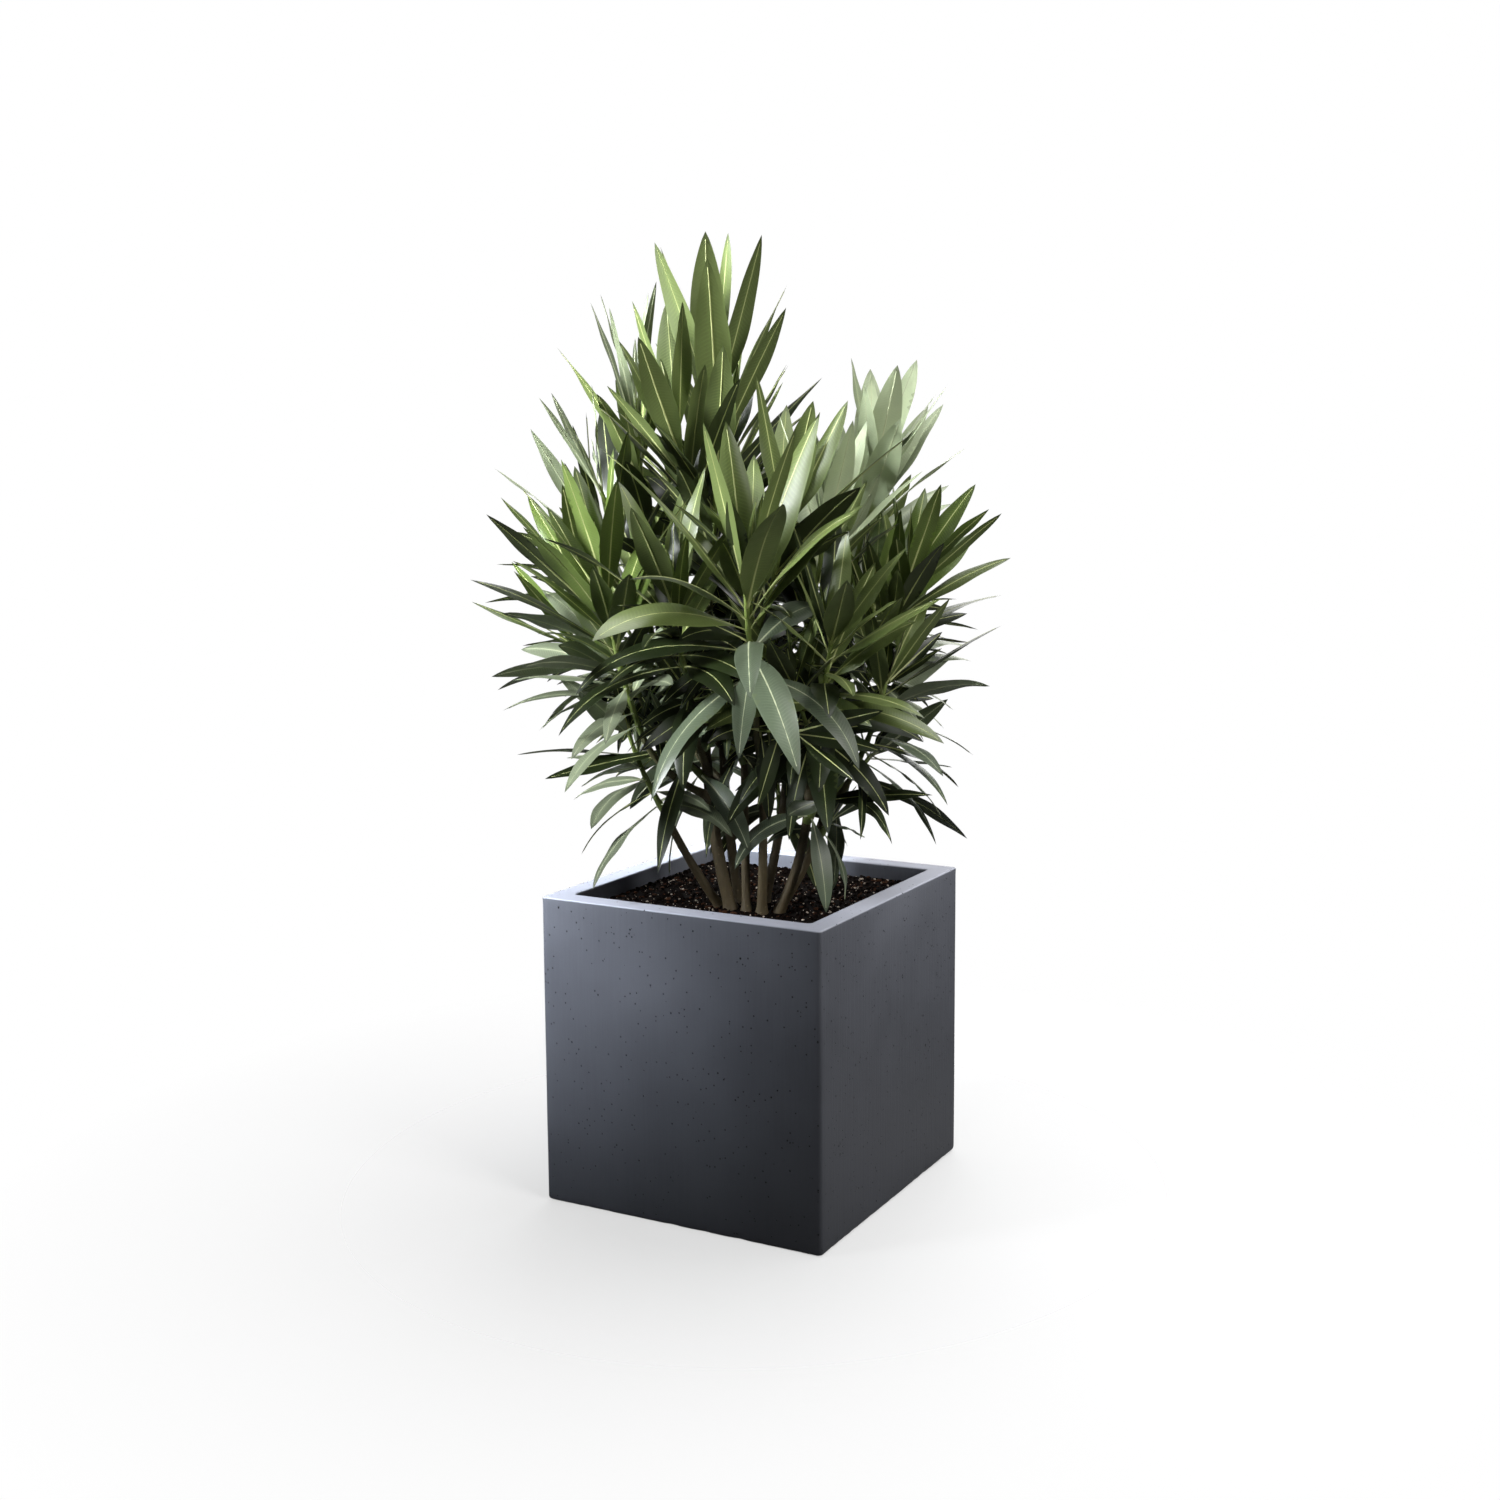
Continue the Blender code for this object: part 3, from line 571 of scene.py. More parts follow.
def feed(tree, node, inputs):
    """Sets or links each named or numbered input of a node."""
    for name, value in inputs.items():
        socket = node.inputs[name]
        if isinstance(value, bpy.types.NodeSocket):
            tree.links.new(value, socket)
        else:
            socket.default_value = value


def put(tree, kind, inputs, **settings):
    """Adds a node, sets its fields and feeds its inputs. Returns its outputs."""
    node = tree.nodes.new(kind)
    for field, value in settings.items():
        setattr(node, field, value)
    feed(tree, node, inputs)
    return node.outputs


def reckon(tree, operation, *values, clamp=False):
    """The result of a Math node on up to three values or sockets."""
    return put(tree, "ShaderNodeMath", dict(enumerate(values)), operation=operation, use_clamp=clamp)[0]


def blended(tree, factor, first, second):
    """The colour between two colours or sockets by a factor."""
    inputs = {0: factor, 6: first, 7: second}
    return put(tree, "ShaderNodeMix", inputs, data_type="RGBA")[2]


def opaque(colour):
    return (*colour, 1.0)


def scaled(colour, factor):
    return tuple(min(1.0, part * factor) for part in colour)


def shades(tree, factor, colour, dark, light):
    """The colour from darker to lighter by a factor."""
    return blended(tree, factor, opaque(scaled(colour, dark)), opaque(scaled(colour, light)))


def layered(tree, colour, *layers):
    """The colour under layers of (mask, share, shade), each laid over those before it."""
    for mask, share, shade in layers:
        colour = blended(tree, reckon(tree, "MULTIPLY", mask, share), colour, opaque(shade))
    return colour


def ranged(tree, value, new_low, new_high, low=0.0, high=1.0):
    """The value moved from the range low to high to the new range."""
    inputs = {"Value": value, "From Min": low, "From Max": high, "To Min": new_low, "To Max": new_high}
    return put(tree, "ShaderNodeMapRange", inputs)[0]


def noise_mask(tree, inputs, contrast):
    """A noise texture as a mask from 0 to 1, spread from one half by its contrast."""
    centred = reckon(tree, "SUBTRACT", put(tree, "ShaderNodeTexNoise", inputs)["Fac"], 0.5)
    return reckon(tree, "MULTIPLY_ADD", centred, contrast, 0.5, clamp=True)


def mottling(tree, given):
    """Soft cloudy patches."""
    inputs = {"Vector": given["Coordinates"], "Scale": given["Scale"], "Detail": given["Detail"]}
    return noise_mask(tree, inputs, given["Contrast"])


def streaking(tree, given):
    """Fine streaks along one direction."""
    inputs = {0: given["Coordinates"], 1: given["Stretch"]}
    stretched = put(tree, "ShaderNodeVectorMath", inputs, operation="MULTIPLY")[0]
    return noise_mask(tree, {"Vector": stretched, "Scale": 1.0, "Detail": 3.0}, given["Contrast"])


def pitting(tree, given):
    """Scattered small round spots of uneven size."""
    cells = put(tree, "ShaderNodeTexVoronoi", {"Vector": given["Coordinates"], "Scale": given["Scale"]})
    chance = put(tree, "ShaderNodeSeparateColor", {0: cells["Color"]})
    radius = reckon(tree, "MULTIPLY", given["Radius"], chance[1])
    depth = reckon(tree, "SUBTRACT", radius, cells["Distance"])
    inside = reckon(tree, "MULTIPLY", depth, 30.0, clamp=True)
    chosen = reckon(tree, "LESS_THAN", chance[0], given["Amount"])
    return reckon(tree, "MULTIPLY", inside, chosen)


def side_veins(tree, given):
    """Fine veins that run from a leaf's midrib to its margin."""
    slanted = reckon(tree, "MULTIPLY", given["Out"], given["Slant"])
    count = reckon(tree, "MULTIPLY_ADD", given["Along"], given["Count"], slanted)
    wave = reckon(tree, "SINE", reckon(tree, "MULTIPLY", count, math.tau))
    raised = reckon(tree, "MULTIPLY_ADD", wave, 0.5, 0.5, clamp=True)
    return reckon(tree, "POWER", raised, 3.0)


# Each effect's sockets with their defaults. Its one output is a mask from 0 to 1.
EFFECTS = {
    mottling: {"Coordinates": (0.0, 0.0, 0.0), "Scale": 20.0, "Detail": 4.0, "Contrast": 1.0},
    streaking: {"Coordinates": (0.0, 0.0, 0.0), "Stretch": (200.0, 200.0, 8.0), "Contrast": 1.5},
    pitting: {"Coordinates": (0.0, 0.0, 0.0), "Scale": 150.0, "Radius": 0.2, "Amount": 0.3},
    side_veins: {"Along": 0.0, "Out": 0.0, "Count": 55.0, "Slant": 2.5},
}


def effect(tree, make, **inputs):
    """The mask of an effect, whose shader node group is made when it is first used."""
    name = make.__name__.replace("_", " ").capitalize()
    group = bpy.data.node_groups.get(name)
    if not group:
        group = bpy.data.node_groups.new(name, "ShaderNodeTree")
        for label, default in EFFECTS[make].items():
            kind = "NodeSocketVector" if isinstance(default, tuple) else "NodeSocketFloat"
            socket = group.interface.new_socket(name=label, in_out="INPUT", socket_type=kind)
            socket.default_value = default
        group.interface.new_socket(name="Mask", in_out="OUTPUT", socket_type="NodeSocketFloat")
        given = put(group, "NodeGroupInput", {})
        end = group.nodes.new("NodeGroupOutput")
        feed(group, end, {"Mask": make(group, given)})
    return put(tree, "ShaderNodeGroup", inputs, node_tree=group)[0]


def new_material(name):
    """A material with a Principled shader: (material, its tree, object coordinates)."""
    material = bpy.data.materials.new(name)
    material.use_nodes = True
    tree = material.node_tree
    return material, tree, put(tree, "ShaderNodeTexCoord", {})["Object"]


def flow_of(tree):
    """Where a place lies on the piece's own map: its across as X and its along as Y."""
    flow = put(tree, "ShaderNodeUVMap", {}, uv_map=FLOW_MAP)[0]
    return put(tree, "ShaderNodeSeparateXYZ", {0: flow})


def own_chance(tree):
    """A value from 0 to 1 that differs from leaf to leaf or from crumb to crumb."""
    return put(tree, "ShaderNodeNewGeometry", {})["Random Per Island"]


def dress(tree, colour, roughness, specular=0.5, relief=None, rise=0.0):
    """Feeds the Principled shader its colour and roughness, and its relief of this rise."""
    inputs = {"Base Color": colour, "Roughness": roughness, "Specular IOR Level": specular}
    if relief is not None:
        heights = {"Height": relief, "Distance": rise, "Strength": 1.0}
        inputs["Normal"] = put(tree, "ShaderNodeBump", heights)["Normal"]
    feed(tree, tree.nodes["Principled BSDF"], inputs)


# ---- Materials


def clay_material(look):
    """Cast fibre-clay: cloudy, faintly streaked upright, with scattered pinholes and a dusty rim, and with
    painted shade that darkens it towards the foot and inside the pinholes.
    """
    material, tree, place = new_material("Fibre clay")
    clay = look.clay
    clouds = effect(tree, mottling, Coordinates=place, Scale=9.0, Detail=6.0, Contrast=2.2)
    streaks = effect(tree, streaking, Coordinates=place, Stretch=(420.0, 420.0, 12.0), Contrast=1.8)
    pits = effect(tree, pitting, Coordinates=place, Scale=1 / look.pit_spacing, Radius=0.20, Amount=0.08)
    dots = effect(tree, pitting, Coordinates=place, Scale=2.2 / look.pit_spacing, Radius=0.36, Amount=0.08)
    grain = effect(tree, mottling, Coordinates=place, Scale=900.0, Detail=2.0, Contrast=1.0)
    height = put(tree, "ShaderNodeSeparateXYZ", {0: place})["Z"]
    rim = ranged(tree, height, 0.0, 1.0, PLANTER_SIDE - RIM_DUST[0], PLANTER_SIDE - RIM_DUST[1])
    holes = reckon(tree, "MAXIMUM", pits, reckon(tree, "MULTIPLY", dots, 0.85))
    colour = layered(
        tree,
        shades(tree, clouds, clay, 0.78, 1.24),
        (streaks, 0.30, scaled(clay, 1.35)),
        (grain, 0.22, scaled(clay, 0.62)),
        # painted shade: the clay darkens from its top down to its foot, as the light falls off
        (ranged(tree, height, look.damp, 0.0, 0.0, PLANTER_SIDE), 1.0, scaled(clay, 0.30)),
        (rim, 0.90, look.rim),
        # painted shade: the pinholes darkened nearly to black, as shade inside them
        (holes, 1.0, scaled(clay, 0.10)),
    )
    dull = reckon(tree, "MULTIPLY_ADD", rim, 0.25, ranged(tree, clouds, 0.34, 0.46))
    relief = reckon(tree, "MULTIPLY_ADD", holes, -3.0, reckon(tree, "MULTIPLY", grain, 0.35))
    relief = reckon(tree, "MULTIPLY_ADD", streaks, 0.25, relief)
    dress(tree, colour, dull, CLAY_SPECULAR, relief, CLAY_RELIEF)
    return material


def soil_material(name, colour, dark, light, roughness):
    """Loose potting soil or its crumbs, each in its own shade."""
    material, tree, place = new_material(name)
    clods = effect(tree, mottling, Coordinates=place, Scale=160.0, Detail=6.0, Contrast=2.2)
    grain = effect(tree, mottling, Coordinates=place, Scale=1400.0, Detail=3.0, Contrast=1.4)
    shade = reckon(tree, "MULTIPLY", reckon(tree, "ADD", clods, own_chance(tree)), 0.5)
    dull = ranged(tree, grain, roughness - 0.08, roughness + 0.08)
    relief = reckon(tree, "MULTIPLY_ADD", clods, 2.0, grain)
    dress(tree, shades(tree, shade, colour, dark, light), dull, SOIL_SPECULAR, relief, SOIL_RELIEF)
    return material


def bark_material(name, old, young, grey):
    """Smooth thin bark, streaked along the limb, with pale breathing pores, young towards the tip."""
    material, tree, place = new_material(name)
    streaks = effect(tree, streaking, Coordinates=place, Stretch=(900.0, 900.0, 60.0), Contrast=2.0)
    patches = effect(tree, mottling, Coordinates=place, Scale=60.0, Detail=4.0, Contrast=2.0)
    pores = effect(tree, pitting, Coordinates=place, Scale=330.0, Radius=0.42, Amount=0.22)
    colour = layered(
        tree,
        blended(tree, flow_of(tree)["Y"], opaque(old), opaque(young)),
        (patches, 0.55, scaled(old, 0.45)),
        (streaks, 0.40, grey),
        (pores, 0.55, scaled(grey, 1.6)),
    )
    relief = reckon(tree, "MULTIPLY_ADD", pores, 0.6, streaks)
    dress(tree, colour, ranged(tree, streaks, 0.55, 0.80), relief=relief, rise=PORE_RELIEF)
    return material


def stem_material(colour):
    """Green young stems, lighter towards the tip."""
    material, tree, place = new_material("Green stem")
    streaks = effect(tree, streaking, Coordinates=place, Stretch=(1200.0, 1200.0, 50.0), Contrast=1.6)
    green = shades(tree, flow_of(tree)["Y"], colour, 0.75, 1.0)
    green = layered(tree, green, (streaks, 0.35, scaled(colour, 1.5)))
    dress(tree, green, ranged(tree, streaks, 0.38, 0.55), relief=streaks, rise=STEM_RELIEF)
    return material


def leaf_material(tone, colour, back):
    """A leathery blade: darker or lighter from leaf to leaf, paler by the midrib, with fine side
    veins, a thin pale margin, a dark tip and a duller, paler back."""
    material, tree, place = new_material(f"Leaf {tone}")
    light = scaled(colour, PALE_LIGHT if tone == "pale" else LEAF_LIGHT)
    foot = [part * gain for part, gain in zip(colour, LEAF_FOOT)]
    parts = flow_of(tree)
    behind = reckon(tree, "GREATER_THAN", parts["X"], 1.5)
    centred = reckon(tree, "SUBTRACT", reckon(tree, "FRACT", parts["X"]), 0.5)
    out = reckon(tree, "MULTIPLY", reckon(tree, "ABSOLUTE", centred), 2.0)
    veins = effect(tree, side_veins, Along=parts["Y"], Out=out, Count=44.0, Slant=2.2)
    inner_veins = reckon(tree, "MULTIPLY", veins, ranged(tree, out, 1.0, 0.0, 0.35, 0.90))
    clouds = effect(tree, mottling, Coordinates=place, Scale=120.0, Detail=3.0, Contrast=1.2)
    dust = effect(tree, mottling, Coordinates=place, Scale=620.0, Detail=4.0, Contrast=2.6)
    front = layered(
        tree,
        shades(tree, own_chance(tree), colour, 0.60, 1.28),
        (clouds, 0.30, scaled(colour, 0.62)),
        (dust, 0.08, light),
        (ranged(tree, out, 1.0, 0.0, 0.0, 0.35), 0.34, light),
        (inner_veins, 0.24, light),
        (ranged(tree, out, 0.0, 1.0, 0.90, 1.0), 0.30, light),
        (ranged(tree, parts["Y"], 1.0, 0.0, 0.0, 0.16), 0.55, foot),
    )
    both = blended(tree, behind, front, blended(tree, 0.22, front, opaque(back)))
    both = layered(tree, both, (ranged(tree, parts["Y"], 0.0, 1.0, 0.90, 1.0), 0.75, scaled(colour, 0.40)))
    dull = reckon(tree, "MULTIPLY_ADD", behind, 0.10, ranged(tree, clouds, 0.31, 0.43))
    relief = reckon(tree, "MULTIPLY_ADD", clouds, 0.4, reckon(tree, "MULTIPLY", inner_veins, -1.0))
    dress(tree, both, dull, LEAF_SPECULAR, relief, LEAF_RELIEF)
    return material


def midrib_material(name, colour):
    """The pale firm midrib and leaf stalk."""
    material, tree, place = new_material(name)
    clouds = effect(tree, mottling, Coordinates=place, Scale=90.0, Detail=3.0, Contrast=1.4)
    shade = reckon(tree, "MULTIPLY", reckon(tree, "ADD", own_chance(tree), clouds), 0.5)
    dress(tree, shades(tree, shade, colour, 0.72, 1.18), ranged(tree, clouds, 0.42, 0.52))
    return material


# ---- Planter and soil


def square_ring(side, radius, height, pitch):
    """A ring of points round a square with rounded corners, a point about every pitch."""
    reach = side / 2 - radius
    straight = max(2, round(PLANTER_SIDE / pitch))

    def on_corner(corner, degrees):
        x, y = SQUARE_CORNERS[corner % 4]
        angle = math.radians(degrees)
        across = Vector((math.cos(angle), math.sin(angle), 0.0)) * radius
        return Vector((x * reach, y * reach, height)) + across

    ring = []
    for corner in range(4):
        ring += [on_corner(corner, 90 * (corner + step / CORNER_STEPS)) for step in range(CORNER_STEPS + 1)]
        first, last = on_corner(corner, 90 * (corner + 1)), on_corner(corner + 1, 90 * (corner + 1))
        ring += [first.lerp(last, step / straight) for step in range(1, straight)]
    return ring


def quarter_round(radius, steps):
    """Pairs of (start side, end side) distances from the square edge that a quarter round cuts off."""
    angles = [math.radians(90 * step / steps) for step in range(steps + 1)]
    return [(radius * (1 - math.sin(angle)), radius * (1 - math.cos(angle))) for angle in angles]


def planter_section():
    """The wall in section, as (inset from the outer side, corner radius, height)."""
    foot = [(inset, CORNER_RADIUS, height) for inset, height in quarter_round(FOOT_RADIUS, FOOT_STEPS)]
    lowest, highest = FOOT_RADIUS, PLANTER_SIDE - RIM_RADIUS
    steps = round((highest - lowest) / CLAY_PITCH)
    wall = [(0.0, CORNER_RADIUS, lowest + (highest - lowest) * step / steps) for step in range(1, steps)]
    edge = quarter_round(RIM_RADIUS, RIM_STEPS)
    rim = [(inset, CORNER_RADIUS, PLANTER_SIDE - below) for below, inset in edge]
    width = WALL - 2 * RIM_RADIUS
    flat = [(RIM_RADIUS + width * share, CORNER_RADIUS, PLANTER_SIDE) for share in (0.25, 0.50, 0.75)]
    inner = [(WALL - inset, INNER_CORNER_RADIUS, PLANTER_SIDE - below) for inset, below in edge]
    levels = (SOIL_TOP + 0.005, SOIL_TOP - 0.01, FLOOR)
    inside = [(WALL, INNER_CORNER_RADIUS, height) for height in levels]
    return foot + wall + rim + flat + inner + inside


def worn(point, inset):
    """A planter point moved in from its true place, by casting and by wear at the foot."""
    if inset > RIM_RADIUS + FOOT_RADIUS or point.z >= PLANTER_SIDE - RIM_RADIUS:
        return point
    uneven = CLAY_UNEVEN * (0.5 + 0.5 * noise.noise(point * 18))
    low = 1 - smooth_step(point.z / FOOT_WEAR_HEIGHT)
    rub = max(0.0, noise.noise(point * 55 + Vector((3, 7, 1)))) + 0.5 * max(0.0, noise.noise(point * 190))
    inwards = Vector((-point.x, -point.y, 0.0))
    flat = Vector((inwards.x, 0, 0)) if abs(point.x) > abs(point.y) else Vector((0, inwards.y, 0))
    corner = min(abs(point.x), abs(point.y)) > PLANTER_SIDE / 2 - 2 * CORNER_RADIUS
    direction = inwards.normalized() if corner else flat.normalized()
    return point + direction * (uneven + FOOT_WEAR * low * rub)


def make_planter(look):
    rings = []
    for inset, radius, height in planter_section():
        ring = square_ring(PLANTER_SIDE - 2 * inset, radius, height, CLAY_PITCH)
        rings.append([worn(point, inset) for point in ring])
    mesh = smooth_mesh("clay_planter", *lofted_shape(rings), CLAY_SHARP_ANGLE)
    finished_piece("clay_planter", mesh, clay_material(look), ["planter"])


def soil_height(x, y):
    """The loose top of the soil: clods, a mound round the canes and a dip along the walls."""
    place = Vector((x, y, 0.0))
    clods = 0.65 * noise.noise(place * 70) + 0.35 * noise.noise(place * 240)
    reach = math.hypot(x - PLANT_AXIS_X, y - PLANT_AXIS_Y)
    mound = SOIL_MOUND * (1 - smooth_step(reach / SOIL_MOUND_REACH))
    edge = PLANTER_SIDE / 2 - WALL - max(abs(x), abs(y))
    dip = SOIL_DIP * (1 - smooth_step(edge / SOIL_DIP_REACH))
    return SOIL_TOP + SOIL_CLODS * clods + mound - dip


def make_soil(material):
    """The block of soil: rows of points for its loose top, upright sides and a flat bottom."""
    reach = PLANTER_SIDE / 2 - WALL - GAP
    steps = round(2 * reach / SOIL_PITCH)
    row = steps + 1
    places = [reach * (2 * step / steps - 1) for step in range(row)]
    points = [(x, y, soil_height(x, y)) for y in places for x in places]
    starts = [index for index in range(row * steps) if index % row < steps]
    faces = [(index, index + 1, index + 1 + row, index + row) for index in starts]
    last = len(points) - 1
    edge = [*range(steps), *range(steps, last, row), *range(last, last - steps, -1)]
    edge += range(last - steps, 0, -row)
    bottom = range(len(points), len(points) + len(edge))
    points += [(*points[index][:2], FLOOR + GAP) for index in edge]
    faces += [(edge[i - 1], edge[i], bottom[i], bottom[i - 1]) for i in range(len(edge))]
    faces.append(tuple(bottom))
    mesh = smooth_mesh("potting_soil", points, faces, SOIL_SHARP_ANGLE)
    finished_piece("potting_soil", mesh, material, ["soil"])


def crumb_shape():
    """The twelve points and twenty faces of the shape that every crumb starts from."""
    shape = bmesh.new()
    bmesh.ops.create_icosphere(shape, subdivisions=1, radius=1.0)
    points = [vertex.co.copy() for vertex in shape.verts]
    faces = [tuple(vertex.index for vertex in face.verts) for face in shape.faces]
    shape.free()
    return points, faces


def make_crumbs(name, seed, sizes, flatness, count, material):
    """Crumbs of about these sizes scattered over the soil, each knocked out of round."""
    chance = Random(seed)
    ball, faces = crumb_shape()
    reach = PLANTER_SIDE / 2 - WALL - GAP - sizes[1]
    shape = Shape()
    for _ in range(count):
        x, y = chance.uniform(-reach, reach), chance.uniform(-reach, reach)
        size = sizes[0] + (sizes[1] - sizes[0]) * chance.random() ** 2
        turn = Matrix.Rotation(chance.uniform(0, math.tau), 3, "Z")
        tip = Matrix.Rotation(chance.uniform(-0.5, 0.5), 3, "X")
        stretch = Vector((1.0, chance.uniform(0.55, 0.9), chance.uniform(flatness, flatness + 0.3)))
        centre = Vector((x, y, soil_height(x, y) + size * 0.25))
        points = []
        for point in ball:
            knocked = point * (1 + chance.uniform(-0.22, 0.22))
            knocked = Vector(a * b for a, b in zip(knocked, stretch)) * size
            points.append(centre + turn @ (tip @ knocked))
        shape.add(points, faces, [[(0.0, 0.0)] * 3 for _ in faces])
    shape.piece(name, material, "soil", None)


# ---- The rule of growth: limbs


class Limb:
    """A cane, bough or twig: its curve, its radius at both ends and how many sides it has."""

    def __init__(self, ends, radius, tip_radius, sides, parent=None, share=1.0):
        self.ends = ends
        self.radius = radius
        self.tip_radius = tip_radius
        self.sides = sides
        self.length = (ends[2] - ends[0]).length
        self.parent = parent
        self.share = share

    def radius_at(self, share):
        return self.radius + (self.tip_radius - self.radius) * share

    def shell(self):
        """Points and faces of the coarse limb, closed at both ends."""
        steps = max(3, round(self.length / RING_SPACING))
        shares = [step / steps for step in range(steps + 1)]
        turns = turns_round(self.sides)
        stations = zip(shares, frames_along(self.ends, shares))
        rings = []
        for share, (place, _, across, over) in stations:
            rings.append(ring_round(place, across, over, self.radius_at(share), turns))
        return lofted_shape(rings)


def grown_from(parent, share, tip, radius, tip_radius, sides, bow):
    """A limb towards tip that starts just clear of its parent, at this share of the parent."""
    root = curve_point(parent.ends, share)
    away = (tip - root).normalized()
    parent_tree = BVHTree.FromPolygons(*parent.shell())
    distance = GAP
    while True:
        limb = Limb(bowed(root + away * distance, tip, bow), radius, tip_radius, sides)
        past_tip = share == 1.0 or distance > parent.radius_at(share)
        if past_tip and not BVHTree.FromPolygons(*limb.shell()).overlap(parent_tree):
            ends = bowed(root + away * (distance + GAP), tip, bow)
            return Limb(ends, radius, tip_radius, sides, parent, share)
        distance += GAP


def grow_limbs():
    """All canes and boughs as {name: Limb}."""
    limbs = {}
    for name, foot, tip, radius, bow in CANES:
        start = plant_place(*foot, SOIL_TOP + GAP)
        ends = bowed(start, plant_place(*tip), bow)
        limbs[name] = Limb(ends, radius, radius * LIMB_TAPER, CANE_SIDES)
    for name, parent, share, tip, radius, bow in BOUGHS:
        radii = radius, radius * LIMB_TAPER
        limbs[name] = grown_from(limbs[parent], share, plant_place(*tip), *radii, BOUGH_SIDES, bow)
    return limbs


# ---- The rule of growth: leaves


def leaf_path(root, direction, normal, length, droop):
    """Points, directions and normals along a leaf that leaves in this direction and bends back
    and down by its droop."""
    place, heading, facing = root, direction, normal
    path = [(place, heading, facing)]
    for step in range(LEAF_STEPS):
        pull = LEAF_BEND * droop * (step + 1) / LEAF_STEPS**2
        heading = (heading - Vector((0.0, 0.0, pull)) - facing * pull * LEAF_CURL).normalized()
        facing = (facing - heading * facing.dot(heading)).normalized()
        place = place + heading * length / LEAF_STEPS
        path.append((place, heading, facing))
    return path


def coarse_leaf(aim, from_share=0.0, swell=0.0):
    """Points and faces of the coarse leaf that takes up the room of a real one."""
    stations = [pair for pair in LEAF_STATIONS if pair[0] >= from_share]
    if from_share:
        (_, foot), (next_share, next_width) = LEAF_STATIONS[:2]
        stations.insert(0, (from_share, foot + (next_width - foot) * from_share / next_share))
    whole_path = leaf_path(*aim)
    path = [whole_path[round(share * LEAF_STEPS)] for share, _ in stations]
    length = aim[3]
    points = []
    for (_, width), (place, heading, normal) in zip(stations[:-1], path):
        side = heading.cross(normal) * (length * LEAF_WIDTH * width / 2 + swell)
        top = place + normal * swell
        points += [top - side, top + side, place - normal * (length * LEAF_THICKNESS + swell)]
    place, heading, _ = path[-1]
    points.append(place + heading * swell)
    faces = [(0, 1, 2)]
    for level in range(len(stations) - 2):
        faces += ring_faces(level * 3, level * 3 + 3, 3)
    last = len(points) - 1
    faces += [(last - 3, last - 2, last), (last - 2, last - 1, last), (last - 1, last - 3, last)]
    return points, faces


class Piece:
    """A limb, twig or leaf in the crown. Pieces of one mass may meet near their feet, so there
    only their free parts count. A limb belongs to no mass."""

    def __init__(self, mass, whole, free=None):
        self.mass = mass
        corners = np.array([tuple(point) for point in whole[0]])
        self.low = corners.min(0)
        self.high = corners.max(0)
        self.whole = BVHTree.FromPolygons(*whole)
        self.free = BVHTree.FromPolygons(*free) if free else self.whole

    def touches(self, other):
        if self.mass != other.mass:
            return bool(self.whole.overlap(other.whole))
        return bool(self.free.overlap(other.free))


class Crown:
    """Every limb, twig and leaf placed so far."""

    def __init__(self, limbs):
        self.pieces = []
        self.lows = np.zeros((0, 3))
        self.highs = np.zeros((0, 3))
        for limb in limbs.values():
            self.take(Piece(None, limb.shell()))

    def take(self, piece):
        self.pieces.append(piece)
        self.lows = np.vstack([self.lows, piece.low])
        self.highs = np.vstack([self.highs, piece.high])

    def has_room_for(self, piece, root=None):
        """Whether the piece touches nothing but what it is rooted in."""
        near = ((self.lows <= piece.high) & (self.highs >= piece.low)).all(1)
        others = [self.pieces[index] for index in np.nonzero(near)[0]]
        return not any(other is not root and piece.touches(other) for other in others)


def leaf_aim(limb, share, turn, angle, length, droop, roll):
    """Root, direction, normal, length and droop of a leaf at this share of its twig."""
    place, along, across, over = frames_along(limb.ends, (0.0, share))[1]
    turn, angle, roll = math.radians(turn), math.radians(angle), math.radians(roll)
    outwards = spoke(across, over, turn)
    direction = spoke(along, outwards, angle)
    flat = along * math.sin(angle) - outwards * math.cos(angle)
    normal = spoke(flat, direction.cross(flat), roll)
    return place + outwards * LEAF_ROOT_OFFSET, direction, normal, length, droop


def clear_of_planter(points):
    """Whether a leaf keeps over the rim, or over the soil inside it."""
    inside = PLANTER_SIDE / 2 - WALL - PLANTER_CLEARANCE
    for point in points:
        over_soil = max(abs(point.x), abs(point.y)) < inside
        ground = SOIL_TOP if over_soil else PLANTER_SIDE
        if point.z < ground + PLANTER_CLEARANCE:
            return False
    return True


def within_crown(points):
    """Whether a fine leaf keeps within the room that the solids take up."""
    low, high = CAD_BOX
    return all(low[axis] <= point[axis] <= high[axis] for point in points for axis in range(3))


